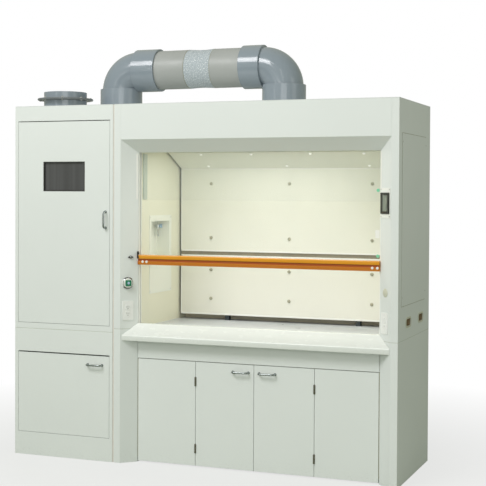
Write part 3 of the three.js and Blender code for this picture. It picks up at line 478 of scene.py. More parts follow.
def glowing(name, colour, roughness, glow, strength):
    """White glass or plastic that glows: the lamp tube gives the lamp's light, while on the sloped baffle's
    screw caps the glow is painted light, as they are no lamp.
    """
    finish = Finish(name, roughness=roughness)
    finish.feed("Base Color", mottled(finish, colour, 0.01, 30.0))
    finish.set("Emission Color", glow)
    finish.set("Emission Strength", strength)
    return finish.material


CASING = (0.815, 0.85, 0.835, 1)
MATERIALS = {
    "casing": powder_coat("CasingPaint", CASING, floor_grime=0.2),
    "ledge": enamel("LedgeEnamel", (0.82, 0.85, 0.82, 1)),
    "liner": board("LinerBoard", (0.89, 0.89, 0.745, 1), (0.92, 0.895, 0.72, 1)),
    "baffle": board("BaffleBoard", (0.86, 0.875, 0.79, 1), (0.84, 0.82, 0.735, 1)),
    "niche": powder_coat("NichePaint", (0.93, 0.95, 0.865, 1)),
    "trim": moulded("WhiteTrim", (0.93, 0.935, 0.90, 1), 0.35, mottling=0.01),
    # Inner face darker and browner; lighter low down as painted light.
    "rear": rear_sheet("RearSheet", CASING, (0.36, 0.33, 0.26, 1)),
    "clamp": moulded("ClampStrip", (0.60, 0.67, 0.60, 1), 0.4),
    "worktop": cast_resin("WorkSurface", (0.655, 0.69, 0.735, 1)),
    "brown": rail_paint("RailPaint", (0.24, 0.215, 0.15, 1), (0.035, 0.045, 0.05, 1)),
    "lining": moulded("ServiceLining", (0.36, 0.27, 0.16, 1), 0.5),
    "hinge": moulded("HingePaint", (0.12, 0.115, 0.08, 1), 0.45),
    "joint": moulded("JointStrip", (0.30, 0.29, 0.20, 1), 0.6, mottling=0.06),
    "filler": moulded("FillerStrip", (0.74, 0.70, 0.65, 1), 0.6, mottling=0.04),
    "seam": moulded("SeamStrip", (0.60, 0.63, 0.57, 1), 0.5),
    "glass": clear_glass("SashGlass", (0.80, 0.90, 0.86, 1), 0.03),
    "glass_edge": moulded("GlassEdge", (0.22, 0.48, 0.40, 1), 0.15, grain=0.00002, coat=0.5),
    "orange": stoved_orange("BarOrange", (0.80, 0.33, 0.012, 1), (0.88, 0.50, 0.16, 1)),
    # Darker copies of the bar's orange: painted shade for the lower band that faces down, and deeper painted
    # shade for the groove.
    "orange_painted_shade": stoved_orange("BarOrangePaintedShade", (0.60, 0.19, 0.014, 1), (0.70, 0.32, 0.09, 1)),
    "groove": stoved_orange("BarGroovePaintedShadeAndEndCaps", (0.44, 0.10, 0.016, 1), (0.36, 0.12, 0.03, 1)),
    "chrome": plated("BrightChrome", (0.66, 0.68, 0.69, 1), 0.12),
    "steel": plated("BrushedSteel", (0.55, 0.55, 0.53, 1), 0.28),
    # Chrome with a darkened colour: a painted reflection of dark surroundings.
    "chrome_painted_dark_reflection": plated("ChromePaintedDarkReflection", (0.33, 0.36, 0.355, 1), 0.16),
    "pvc": drawn_pvc("DuctBlueGrey", (0.265, 0.31, 0.355, 1), 0.17, 0.6, (1, 1, 1)),
    "flange": drawn_pvc("FlangeDarkGrey", (0.17, 0.185, 0.195, 1), 0.3, 0.2, (1, 1, 1)),
    "pipe": drawn_pvc("PipeLightGrey", (0.395, 0.41, 0.40, 1), 0.42, 0.05, (0.05, 1, 1)),
    "sleeve": coated_cloth("SleeveCloth", (0.49, 0.555, 0.60, 1)),
    "black": moulded("BlackPlastic", (0.022, 0.022, 0.02, 1), 0.38),
    "rubber": moulded("BlackRubber", (0.03, 0.03, 0.028, 1), 0.65, grain=0.0001),
    "outlet": moulded("OutletPlastic", (0.93, 0.94, 0.925, 1), 0.3, mottling=0.008),
    "beige": moulded("BeigePlastic", (0.66, 0.66, 0.54, 1), 0.4),
    "knob": moulded("BaffleKnobPlastic", (0.42, 0.41, 0.31, 1), 0.45),
    "green": moulded("GreenCap", (0.012, 0.20, 0.10, 1), 0.3, coat=0.4),
    "green_mark": moulded("GreenMark", (0.22, 0.66, 0.42, 1), 0.4),
    "pale_blue": moulded("PaleBlueInset", (0.45, 0.62, 0.80, 1), 0.25, coat=0.4),
    "pane": smoked_pane("SmokedPane", (0.078, 0.078, 0.081, 1)),
    "display": moulded("DisplayGlass", (0.20, 0.23, 0.20, 1), 0.14, grain=0.00001, coat=0.6),
    "iron": bare_metal("CastIron", (0.16, 0.16, 0.17, 1), 0.55, 0.0004),
    "fan": powder_coat("FanPaint", (0.34, 0.37, 0.39, 1)),
    "filter": moulded("FilterBox", (0.58, 0.60, 0.56, 1), 0.55, grain=0.0001),
    "tube": glowing("LampTube", (0.95, 0.95, 0.9, 1), 0.3, (1.0, 0.98, 0.92, 1), 1.6),
    # The screw caps glow though they are no lamp: painted light that keeps them bright.
    "cap": glowing("CapPlasticPaintedGlow", (0.93, 0.935, 0.91, 1), 0.35, WHITE, 0.34),
}

# ---- Mesh tools ----
ROUND = 48


def add_box(bm, x, y, z):
    centre = [(a + b) / 2 for a, b in (x, y, z)]
    size = [b - a for a, b in (x, y, z)]
    matrix = moved(*centre) @ Matrix.Diagonal((*size, 1))
    bmesh.ops.create_cube(bm, size=1.0, matrix=matrix)


def add_prism(bm, outline, push):
    """Closed solid: a flat outline of points, pushed along a vector."""
    push = Vector(push)
    first = [bm.verts.new(point) for point in outline]
    second = [bm.verts.new(Vector(point) + push) for point in outline]
    bm.faces.new(first)
    bm.faces.new(second[::-1])
    for i in range(len(outline)):
        j = (i + 1) % len(outline)
        bm.faces.new((first[j], first[i], second[i], second[j]))


def add_bar(bm, outline, start, length):
    """Solid along x with an outline of (y, z) points."""
    add_prism(bm, [(start, y, z) for y, z in outline], (length, 0, 0))


def offset_line(path, thick):
    """The same line of flat points, moved to its left."""
    line = []
    for i, (a, b) in enumerate(path):
        before, after = path[max(i - 1, 0)], path[min(i + 1, len(path) - 1)]
        along = Vector((after[0] - before[0], after[1] - before[1])).normalized()
        line.append((a - along.y * thick, b + along.x * thick))
    return line


def rounded_outline(width, height, radius, steps=6):
    """Corner-rounded rectangle about the origin, as (u, v) points."""
    points = []
    for quarter, (su, sv) in enumerate(((1, 1), (-1, 1), (-1, -1), (1, -1))):
        for i in range(steps + 1):
            angle = (quarter + i / steps) * math.pi / 2
            u = su * (width / 2 - radius) + radius * math.cos(angle)
            v = sv * (height / 2 - radius) + radius * math.sin(angle)
            points.append((u, v))
    return points


def add_plate(bm, u, v, width, height, radius, y):
    """Upright rounded plate centred at x = u, z = v, between two depths y."""
    outline = [(u + a, y[0], v + b) for a, b in rounded_outline(width, height, radius)]
    add_prism(bm, outline, (0, y[1] - y[0], 0))


def add_loops(bm, loops, closed=False):
    """Skins a list of vertex loops; a loop of one vertex is a pole."""
    pairs = list(zip(loops, loops[1:] + loops[:1])) if closed else list(zip(loops, loops[1:]))
    for first, second in pairs:
        count = max(len(first), len(second))
        for i in range(count):
            j = (i + 1) % count
            corners = [first[i % len(first)], first[j % len(first)],
                       second[j % len(second)], second[i % len(second)]]
            face = list(dict.fromkeys(corners))
            if len(face) > 2:
                bm.faces.new(face)


def add_lathe(bm, profile, place=None, segments=ROUND):
    """Solid of revolution about local Z; the profile of (radius, z) ends on the axis or closes."""
    place = place or Matrix.Identity(4)
    closed = profile[0] == profile[-1] and profile[0][0] > 0
    points = profile[:-1] if closed else profile
    loops = []
    for radius, z in points:
        if radius <= 0:
            loops.append([bm.verts.new(place @ Vector((0, 0, z)))])
            continue
        angles = (2 * math.pi * i / segments for i in range(segments))
        ring = [place @ Vector((radius * math.cos(a), radius * math.sin(a), z)) for a in angles]
        loops.append([bm.verts.new(point) for point in ring])
    add_loops(bm, loops, closed)


def tube_profile(inner, outer, low, high, edge=1.0):
    """Closed wall profile of a tube with eased rims."""
    return [(inner, low + edge), (inner + edge, low), (outer - edge, low), (outer, low + edge),
            (outer, high - edge), (outer - edge, high), (inner + edge, high), (inner, high - edge),
            (inner, low + edge)]


def add_sweep(bm, points, radius, sides):
    """Round rod along a smooth list of points, with flat ends."""
    points = [Vector(p) for p in points]
    loops = []
    side = None
    for i, point in enumerate(points):
        ahead = points[min(i + 1, len(points) - 1)] - points[max(i - 1, 0)]
        ahead.normalize()
        side = (side or ahead.orthogonal()) - ahead * (side or ahead.orthogonal()).dot(ahead)
        side.normalize()
        other = ahead.cross(side)
        ring = []
        for k in range(sides):
            angle = 2 * math.pi * k / sides
            ring.append(bm.verts.new(point + radius * (math.cos(angle) * side + math.sin(angle) * other)))
        loops.append(ring)
    add_loops(bm, loops)
    bm.faces.new(loops[0][::-1])
    bm.faces.new(loops[-1])


def add_screw(bm, place, radius, height):
    """Domed screw head with a blind socket, rising along local Z."""
    socket = radius * 0.36
    profile = [(0, height * 0.45), (socket, height * 0.45), (socket * 1.15, height)]
    for i in range(5):
        angle = (0.75 - 0.75 * i / 4) * math.pi / 2
        profile.append((radius * math.cos(angle), height * (0.25 + 0.64 * math.sin(angle))))
    profile += [(radius, 0), (0, 0)]
    add_lathe(bm, profile, place, 24)


def shape(add, *sizes):
    """New mesh that holds one added shape."""
    bm = bmesh.new()
    add(bm, *sizes)
    return bm


def raw_object(name, bm, place):
    bmesh.ops.recalc_face_normals(bm, faces=bm.faces[:])
    mesh = bpy.data.meshes.new(name)
    bm.to_mesh(mesh)
    bm.free()
    mesh.transform(place)
    made = bpy.data.objects.new(name, mesh)
    bpy.context.scene.collection.objects.link(made)
    return made


def combine(first, others, operation):
    """Boolean of raw objects; what is joined or cut away is removed."""
    for other in others:
        step = first.modifiers.new("Step", "BOOLEAN")
        step.operation = operation
        step.solver = "EXACT"
        step.object = other
    bpy.context.view_layer.update()
    graph = bpy.context.evaluated_depsgraph_get()
    mesh = bpy.data.meshes.new_from_object(first.evaluated_get(graph))
    first.modifiers.clear()
    first.data = mesh
    for other in others:
        bpy.data.objects.remove(other)
    return first


def cut_out(name, bm, hole, place):
    """Raw object of one mesh less another."""
    return combine(raw_object(name, bm, place), [raw_object("Part", hole, place)], "DIFFERENCE")


def upright_axis(low, high, z=0):
    return moved((low.x + high.x) / 2, (low.y + high.y) / 2, z)


def level_axis(low, high, x=0):
    return moved(x, (low.y + high.y) / 2, (low.z + high.z) / 2)


def middle_and_size(low, high):
    """Centre in x and z of a box's front, then its width and height."""
    return (low.x + high.x) / 2, (low.z + high.z) / 2, high.x - low.x, high.z - low.z


def ease_edges(made, width, segments, angle):
    """Rounds every edge that turns by more than an angle in degrees."""
    ease = made.modifiers.new("Ease", "BEVEL")
    ease.width = width * MM
    ease.segments = segments
    ease.limit_method = "ANGLE"
    ease.angle_limit = math.radians(angle)
    ease.harden_normals = True


def dress(made, body, material, bevel=0.0, segments=2, angle=35):
    """Shading, eased edges, material and body of a finished shape."""
    mesh = made.data
    mesh.materials.clear()
    mesh.materials.append(MATERIALS[material])
    mesh.shade_smooth()
    mesh.set_sharp_from_angle(angle=math.radians(angle))
    if bevel:
        ease_edges(made, bevel, segments, angle)
    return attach(made, body)


def piece(name, bm, place, body, material, bevel=0.0, segments=2, angle=35):
    return dress(raw_object(name, bm, place), body, material, bevel, segments, angle)


# ---- Carried-over CAD nodes ----
def soften(name, width, material):
    """Eases a CAD node's edges with modifiers and gives it its finish."""
    node = nodes[name]
    with bpy.context.temp_override(object=node, active_object=node, selected_objects=[node]):
        bpy.ops.mesh.customdata_custom_splitnormals_clear()
    node.data.materials.clear()
    node.data.materials.append(MATERIALS[material])
    node.data.shade_smooth()
    weld = node.modifiers.new("Weld", "WELD")
    weld.merge_threshold = 0.00001
    flat = node.modifiers.new("Flat", "DECIMATE")
    flat.decimate_type = "DISSOLVE"
    flat.angle_limit = math.radians(0.4)
    ease_edges(node, width, 2, 28)


KEPT = {
    "casing": (["base_side_left", "base_side_right", "base_floor", "apron_panel", "base_panel_left",
                "base_panel_right", "base_door_left", "base_door_right", "side_skin_left",
                "side_skin_right", "access_panel", "header_panel", "hood_roof", "lamp_housing",
                "scrubber_upper_casing", "scrubber_lower_casing", "scrubber_roof", "upper_door",
                "lower_door"], 0.8),
    "joint": (["base_frame"], 0.8),
    "rear": (["rear_panel"], 0.6),
    "trim": (["sash_guide_left", "sash_guide_right"], 0.8),
    "liner": (["liner_left", "liner_right", "ceiling_panel"], 0.6),
    "baffle": (["baffle_lower", "baffle_upper", "baffle_top"], 0.8),
    "niche": (["service_niche"], 0.8),
    "worktop": (["work_surface"], 1.5),
    "brown": (["baffle_frame"], 1.0),
    "glass": (["upper_glass"], 0.8),
    "iron": (["counterweight_left", "counterweight_right", "sash_axle"], 1.5),
    "filter": (["filter_cartridge"], 1.0),
}


def dress_cad_nodes():
    for material, (names, width) in KEPT.items():
        for name in names:
            soften(name, width, material)


# ---- Duct ----
DUCT_Z = 2490
BEND_RADIUS = 135
BEND_OUTER = 125
BEND_INNER = 121.5
BELL_OUTER = 140
BELL_INNER = 127.5
BELL_START = 131
DUCT_SIDES = 64
BEND_STEPS = 24
STANDING_BELL = (2226, 2370)


def elbow(name, towards):
    """Rigid elbow with a standing and a lying bell; its vertical axis is that of the CAD elbow."""
    low, high = in_frame(SCRUBBER, name)
    axis_x = low.x + BELL_OUTER if towards > 0 else high.x - BELL_OUTER
    axis_y = (low.y + high.y) / 2
    bell_end = high.x - axis_x if towards > 0 else axis_x - low.x
    turn = Matrix.Identity(4) if towards > 0 else turned(math.pi, "Z")
    place = SCRUBBER @ moved(axis_x, axis_y, DUCT_Z) @ turn

    def bend_loops(bm, radius):
        loops = []
        for i in range(BEND_STEPS + 1):
            angle = i / BEND_STEPS * math.pi / 2
            centre = Vector((1 - math.cos(angle), 0, math.sin(angle) - 1)) * BEND_RADIUS
            across = Vector((-math.cos(angle), 0, math.sin(angle)))
            turns = (2 * math.pi * k / DUCT_SIDES for k in range(DUCT_SIDES))
            ring = [math.cos(a) * across + math.sin(a) * Vector((0, 1, 0)) for a in turns]
            loops.append([bm.verts.new(centre + radius * spoke) for spoke in ring])
        return loops

    bend = bmesh.new()
    outer, inner = bend_loops(bend, BEND_OUTER), bend_loops(bend, BEND_INNER)
    add_loops(bend, outer + inner[::-1], closed=True)
    shell = raw_object(name.replace("elbow", "duct_elbow"), bend, place)
    spigot = bmesh.new()
    neck = tube_profile(BEND_INNER + 0.3, BEND_OUTER - 0.3, low.z - DUCT_Z, 6 - BEND_RADIUS)
    add_lathe(spigot, neck, None, DUCT_SIDES)
    standing = bmesh.new()
    bell_bottom, bell_top = (z - DUCT_Z for z in STANDING_BELL)
    rim = [(BELL_INNER, bell_bottom), (BELL_OUTER, bell_bottom), (BELL_OUTER, bell_top - 2),
           (BELL_OUTER - 2, bell_top), (BEND_INNER + 1, bell_top), (BEND_INNER + 1, bell_top - 8),
           (BELL_INNER, bell_top - 8), (BELL_INNER, bell_bottom)]
    add_lathe(standing, rim, None, DUCT_SIDES)
    lying = bmesh.new()
    mouth = [(BEND_INNER + 1, BELL_START), (BELL_OUTER - 2, BELL_START), (BELL_OUTER, BELL_START + 2),
             (BELL_OUTER, bell_end - 1.5), (BELL_OUTER - 1.5, bell_end), (BELL_INNER + 1, bell_end),
             (BELL_INNER, bell_end - 1), (BELL_INNER, BELL_START + 8), (BEND_INNER + 1, BELL_START + 8),
             (BEND_INNER + 1, BELL_START)]
    add_lathe(lying, mouth, FACING_RIGHT, DUCT_SIDES)
    parts = [raw_object("Part", bm, place) for bm in (spigot, standing, lying)]
    combine(shell, parts, "UNION")
    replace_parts(dress(shell, "cabinet", "pvc", angle=30), name)


def duct_pipe(name):
    low, high = in_frame(SCRUBBER, name)
    outer = (high.z - low.z) / 2
    place = SCRUBBER @ level_axis(low, high) @ FACING_RIGHT
    bm = shape(add_lathe, tube_profile(outer - 4, outer, low.x, high.x, 0.8), None, 72)
    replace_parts(piece(f"{name}_wall", bm, place, "cabinet", "pipe", angle=30), name)


def flexible_sleeve():
    """Woven sleeve over the pipe ends: drawn in a little between them, with soft edges."""
    low, high = in_frame(SCRUBBER, "flexible_connector")
    outer, length = (high.z - low.z) / 2, high.x - low.x
    place = SCRUBBER @ level_axis(low, high, low.x)
    rows, sides, wall = 36, 120, 4
    mesh_rows = []
    bm = bmesh.new()
    wrap = bm.loops.layers.uv.new("Wrap")
    for inside in (False, True):
        for i in range(rows + 1):
            share = i / rows
            edge = min(share, 1 - share) * length
            dip = 3.4 * math.sin(math.pi * share) ** 1.5
            hem = 1.2 * math.exp(-((edge - 12) / 4) ** 2) - 1.8 * math.exp(-(edge / 3) ** 2)
            loop = []
            for k in range(sides):
                angle = 2 * math.pi * k / sides
                seed = Vector((share * 4.5, math.cos(angle) * 2.2, math.sin(angle) * 2.2))
                ripple = 1.3 * noise.noise(seed * 1.6) * math.sin(math.pi * share)
                radius = outer + 0.6 - dip + hem + ripple - (wall if inside else 0)
                across, up = radius * math.cos(angle), radius * math.sin(angle)
                loop.append(bm.verts.new((share * length, across, up)))
            mesh_rows.append(loop)
    half = rows + 1
    skins = mesh_rows[:half] + mesh_rows[half:][::-1]
    add_loops(bm, skins, closed=True)
    for face in bm.faces:
        turns = [math.atan2(loop.vert.co.z, loop.vert.co.y) for loop in face.loops]
        wrapped = max(turns) - min(turns) > math.pi
        for loop, angle in zip(face.loops, turns):
            angle += 2 * math.pi if wrapped and angle < 0 else 0
            loop[wrap].uv = (loop.vert.co.x * MM, angle * outer * MM)
    sleeve = piece("duct_sleeve_cloth", bm, place, "cabinet", "sleeve", angle=60)
    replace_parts(sleeve, "flexible_connector")
    bands = bmesh.new()
    for x in (-1.6, length - 1.0):
        add_lathe(bands, tube_profile(outer - 4, outer + 1.4, x, x + 2.6, 0.6), FACING_RIGHT, 96)
    edges = piece("sleeve_edge_bands", bands, place, "cabinet", "joint", angle=30)


# ---- Exhaust collar, fan and motor ----
COLLAR_RADIUS = 139
COLLAR_WALL = 5
FLANGE_THICK = 11
FLANGE_BOTTOM = 2278
BOLT_CIRCLE = 164
FLANGE_BOLTS = 8
NUT_RADIUS = 6.5


def exhaust_collar():
    low, high = in_frame(SCRUBBER, "exhaust_collar")
    axis = upright_axis(low, high)
    flange = (high.x - low.x) / 2
    top = FLANGE_BOTTOM + FLANGE_THICK
    bm = shape(add_lathe, tube_profile(COLLAR_RADIUS - COLLAR_WALL, COLLAR_RADIUS, low.z, high.z), axis, 72)
    collar = piece("exhaust_collar_wall", bm, SCRUBBER, "cabinet", "pvc", angle=30)
    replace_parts(collar, "exhaust_collar")
    ring = bmesh.new()
    bore, neck, root = COLLAR_RADIUS - 0.5, COLLAR_RADIUS + 1, COLLAR_RADIUS + 5
    add_lathe(ring, [(bore, FLANGE_BOTTOM - 4), (neck, FLANGE_BOTTOM - 4), (root, FLANGE_BOTTOM),
                     (flange - 2, FLANGE_BOTTOM), (flange, FLANGE_BOTTOM + 2), (flange, top - 2),
                     (flange - 2, top), (root, top), (neck, top + 4), (bore, top + 4),
                     (bore, FLANGE_BOTTOM - 4)], axis, 96)
    piece("exhaust_flange_ring", ring, SCRUBBER, "cabinet", "flange", angle=30)
    bolts = bmesh.new()
    for i in range(FLANGE_BOLTS):
        angle = (i + 0.5) * 2 * math.pi / FLANGE_BOLTS
        spot = axis @ moved(BOLT_CIRCLE * math.cos(angle), BOLT_CIRCLE * math.sin(angle), 0)
        washer = [(0, top), (9, top), (9, top + 1.6), (0, top + 1.6)]
        add_lathe(bolts, washer, spot, 24)
        head = [(0, top + 1.6), (NUT_RADIUS, top + 1.6), (NUT_RADIUS, top + 6), (NUT_RADIUS - 1, top + 7),
                (0, top + 7)]
        add_lathe(bolts, head, spot, 6)
        nut = [(0, FLANGE_BOTTOM), (NUT_RADIUS, FLANGE_BOTTOM), (NUT_RADIUS, FLANGE_BOTTOM - 6),
               (0, FLANGE_BOTTOM - 6)]
        add_lathe(bolts, nut, spot, 6)
    piece("exhaust_flange_bolts", bolts, SCRUBBER, "cabinet", "steel")


FAN_BORE = 141
FAN_WALL = 3
MOTOR_BOTTOM = 2052
MOTOR_TOP = 2160
MOTOR_RADIUS = 44
MOTOR_FINS = 20
IMPELLER_Z = 2010
BLADES = 6
BLADE_ROOT = 34
BLADE_TIP = 133


def fan_parts():
    low, high = in_frame(SCRUBBER, "fan_housing")
    axis = upright_axis(low, high)
    rim = (high.x - low.x) / 2
    outside = FAN_BORE + FAN_WALL
    bm = bmesh.new()
    add_lathe(bm, [(FAN_BORE + 2, low.z), (outside, low.z + 2), (outside, high.z - 4), (rim, high.z - 4),
                   (rim, high.z), (FAN_BORE, high.z), (FAN_BORE, low.z + 1), (FAN_BORE + 2, low.z)], axis, 72)
    motor = [(0, MOTOR_BOTTOM), (MOTOR_RADIUS - 14, MOTOR_BOTTOM), (MOTOR_RADIUS, MOTOR_BOTTOM + 6)]
    fin = MOTOR_RADIUS + 4
    for i in range(MOTOR_FINS):
        z = MOTOR_BOTTOM + 10 + i * 90 / MOTOR_FINS
        motor += [(fin, z), (fin, z + 2), (MOTOR_RADIUS, z + 2.6), (MOTOR_RADIUS, z + 4)]
    motor += [(MOTOR_RADIUS, MOTOR_TOP - 6), (MOTOR_RADIUS - 8, MOTOR_TOP), (0, MOTOR_TOP)]
    add_lathe(bm, motor, axis, ROUND)
    for i in range(3):
        spoke = axis @ turned(i * 2 * math.pi / 3 + 0.3, "Z")
        start = len(bm.verts)
        add_box(bm, (MOTOR_RADIUS - 4, FAN_BORE + 1), (-2.5, 2.5), (2080, 2120))
        bm.verts.ensure_lookup_table()
        bmesh.ops.transform(bm, matrix=spoke, verts=bm.verts[start:])
    housing = piece("fan_tube_and_motor", bm, SCRUBBER, "cabinet", "fan", bevel=0.5)
    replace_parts(housing, "fan_housing")


def fan_impeller():
    """Axial impeller: a domed hub and swept, twisted blades with eased tips."""
    low, high = in_frame(SCRUBBER, "fan_impeller")
    axis = upright_axis(low, high, IMPELLER_Z)
    bm = bmesh.new()
    add_lathe(bm, [(0, -25), (20, -24), (32, -18), (38, -6), (38, 36), (36, 40), (0, 40)], axis, ROUND)
    rows, columns = 12, 8
    for blade in range(BLADES):
        start = 2 * math.pi * blade / BLADES
        skins = {}
        for side in (1, -1):
            grid = []
            for i in range(rows + 1):
                share = i / rows
                radius = BLADE_ROOT + share * (BLADE_TIP - BLADE_ROOT)
                pitch = math.radians(48 - 24 * share)
                chord = 30 + 22 * math.sin(math.pi * (0.25 + 0.6 * share))
                sweep = 0.22 * share ** 2
                line = []
                for k in range(columns + 1):
                    t = k / columns - 0.5
                    thick = 1.6 * (1 - 0.75 * abs(2 * t) ** 2) * side
                    across = t * chord * math.cos(pitch) - thick * math.sin(pitch)
                    up = t * chord * math.sin(pitch) + thick * math.cos(pitch) + 3 * (0.25 - t * t)
                    angle = start + sweep + across / radius
                    point = Vector((radius * math.cos(angle), radius * math.sin(angle), up))
                    line.append(bm.verts.new(axis @ point))
                grid.append(line)
            skins[side] = grid
        for i in range(rows):
            for k in range(columns):
                for side in (1, -1):
                    g = skins[side]
                    bm.faces.new((g[i][k], g[i + 1][k], g[i + 1][k + 1], g[i][k + 1]))
        top, under = skins[1], skins[-1]
        for i in range(rows):
            for k in (0, columns):
                bm.faces.new((top[i][k], top[i + 1][k], under[i + 1][k], under[i][k]))
        for i in (0, rows):
            for k in range(columns):
                bm.faces.new((top[i][k], top[i][k + 1], under[i][k + 1], under[i][k]))
    impeller = piece("fan_blades", bm, SCRUBBER, "impeller", "black", angle=40)
    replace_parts(impeller, "fan_impeller")


# ---- Handles ----
ROD_RADIUS = 6
HANDLE_TURN = 16


def bow_handle(node, body, upright=False):
    """Bent rod with turned collars where its legs meet the door."""
    low, high = in_frame(HOOD, node)
    centre = (low + high) / 2
    length = (high.z - low.z) if upright else (high.x - low.x)
    half = length / 2 - ROD_RADIUS
    reach = high.y - low.y - ROD_RADIUS
    points = [(-half, 0, 0), (-half, -reach + HANDLE_TURN, 0)]
    steps = 8
    for i in range(1, steps + 1):
        angle = i / steps * math.pi / 2
        inward, outward = HANDLE_TURN * (1 - math.cos(angle)), HANDLE_TURN * (1 - math.sin(angle))
        points.append((-half + inward, -reach + outward, 0))
    for share in (-0.5, 0, 0.5):
        points.append(((half - HANDLE_TURN) * share, -reach, 0))
    points += [(-x, y, z) for x, y, z in points[steps + 1::-1]]
    bm = bmesh.new()
    add_sweep(bm, points, ROD_RADIUS, 24)
    for x in (-half, half):
        foot = moved(x, -0.2, 0) @ FACING_FRONT
        add_lathe(bm, [(0, 0), (9, 0), (9, 1.8), (7.8, 3.2), (6.2, 3.4), (0, 3.4)], foot, 32)
    spin = FACING_RIGHT if upright else Matrix.Identity(4)
    place = HOOD @ moved(centre.x, high.y, centre.z) @ spin
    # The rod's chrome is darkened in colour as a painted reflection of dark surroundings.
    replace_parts(piece(f"{node}_rod", bm, place, body, "chrome_painted_dark_reflection", angle=40), node)


def handles():
    bow_handle("base_handle_left", "left_base_door")
    bow_handle("base_handle_right", "right_base_door")
    bow_handle("upper_handle", "scrubber_upper_door", upright=True)
    bow_handle("lower_handle", "scrubber_lower_door")


# ---- Base cupboard hinges ----
HINGE_HEIGHTS = (497, 86)
HINGE_LENGTH = 55
KNUCKLE_RADIUS = 6.2


def base_hinges():
    """Barrel hinges: the outer knuckles stay with the panel, the middle one turns with the door."""
    for side in ("left", "right"):
        body = f"{side}_base_door"
        found = next(joint for joint in frame["joints"] if joint["name"] == f"{body}_hinge")
        pivot = HOOD.inverted() @ Vector(found["pos_m"])
        fixed, turning = bmesh.new(), bmesh.new()
        third = HINGE_LENGTH / 3
        for bottom in HINGE_HEIGHTS:
            for i in range(3):
                low, high = bottom + i * third + 0.3, bottom + (i + 1) * third - 0.3
                knuckle = [(0, low), (KNUCKLE_RADIUS - 0.6, low), (KNUCKLE_RADIUS, low + 0.6),
                           (KNUCKLE_RADIUS, high - 0.6), (KNUCKLE_RADIUS - 0.6, high), (0, high)]
                add_lathe(turning if i == 1 else fixed, knuckle, moved(pivot.x, pivot.y - 1, 0), 24)
            top = bottom + HINGE_LENGTH
            cap = [(0, top), (3, top), (2, top + 2), (0, top + 2.4)]
            add_lathe(fixed, cap, moved(pivot.x, pivot.y - 1, 0), 16)
        piece(f"hinge_knuckles_{side}", fixed, HOOD, "cabinet", "hinge")
        piece(f"hinge_door_knuckles_{side}", turning, HOOD, body, "hinge")


# ---- Sill ----
SILL_WALL = 3
SILL_END_GAP = 2
NOSE_RADIUS = 14
NOSE_Z = 788
CROWN_RADIUS = 12
CROWN_Y = 84


def post_face_x(y):
    """Where the left slanted face stands at a depth y."""
    return POST_STRIP + min(y, POST_DEPTH) * (POST_INNER - POST_STRIP) / POST_DEPTH


def sill_ledge():
    """Moulded sill: rounded nose, long fall and a soft crest, its ends cut to the posts' slant."""
    low, high = in_frame(HOOD, "sill_ledge")
    bottom, crest = low.z, high.z
    nose = [(low.y + NOSE_RADIUS + NOSE_RADIUS * math.cos(a), NOSE_Z + NOSE_RADIUS * math.sin(a))
            for a in (math.pi - i / 8 * math.pi * 0.30 for i in range(9))]
    crown = [(CROWN_Y + CROWN_RADIUS * math.cos(a), crest - CROWN_RADIUS + CROWN_RADIUS * math.sin(a))
             for a in (math.radians(138 - i / 6 * 48) for i in range(7))]
    path = [(24, bottom), (low.y + 4, bottom), (low.y + 1, bottom + 1), (low.y, bottom + 4)]
    path += nose + crown + [(high.y - 2, crest), (high.y, crest - 2), (high.y, low.z + 80)]
    section = path + offset_line(path, -SILL_WALL)[::-1]
    bm = bmesh.new()
    sides = []
    for mirror in (False, True):
        line = []
        for y, z in section:
            x = post_face_x(y) + SILL_END_GAP
            line.append(bm.verts.new((mirrored(x) if mirror else x, y, z)))
        sides.append(line)
    add_loops(bm, sides)
    count = len(path)
    for line in sides:
        for i in range(count - 1):
            other = 2 * count - 1 - i
            bm.faces.new((line[i], line[i + 1], line[other - 1], line[other]))
    sill = piece("sill_cover", bm, HOOD, "cabinet", "ledge", bevel=0.8, angle=40)
    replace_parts(sill, "sill_ledge")


# ---- Sash ----
def sash_pane():
    low, high = in_frame(HOOD, "sash_glass")
    bm = shape(add_box, (low.x, high.x), (low.y, high.y), (low.z, high.z))
    pane = piece("sash_pane", bm, HOOD, "sash", "glass", bevel=1.0)
    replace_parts(pane, "sash_glass")
    edge = shape(add_box, (low.x, high.x), (low.y + 0.3, high.y - 0.3), (high.z - 0.2, high.z + 0.4))
    piece("sash_pane_top_edge", edge, HOOD, "sash", "glass_edge")


def bar_profile(bottom):
    """Front outline of the handle bar in (y, z): two rounded bands either side of a groove."""
    def arc(y, z, radius, start, end, steps=5):
        angles = (math.radians(start + (end - start) * i / steps) for i in range(steps + 1))
        return [(y + radius * math.cos(a), bottom + z + radius * math.sin(a)) for a in angles]
    upper = arc(68, 55, 5, 90, 180) + arc(68, 41, 5, 180, 235)
    groove = [(75, bottom + 36.5), (75, bottom + 22)]
    lower = arc(73, 17, 5, 125, 180) + arc(74, 5, 5, 180, 270)
    return upper + groove + lower


BAR_END_CAP = 5
BAR_CAPS = (164, 191, 1630, 1660)
BAR_BACK = 89
BAR_JAW_START = 133


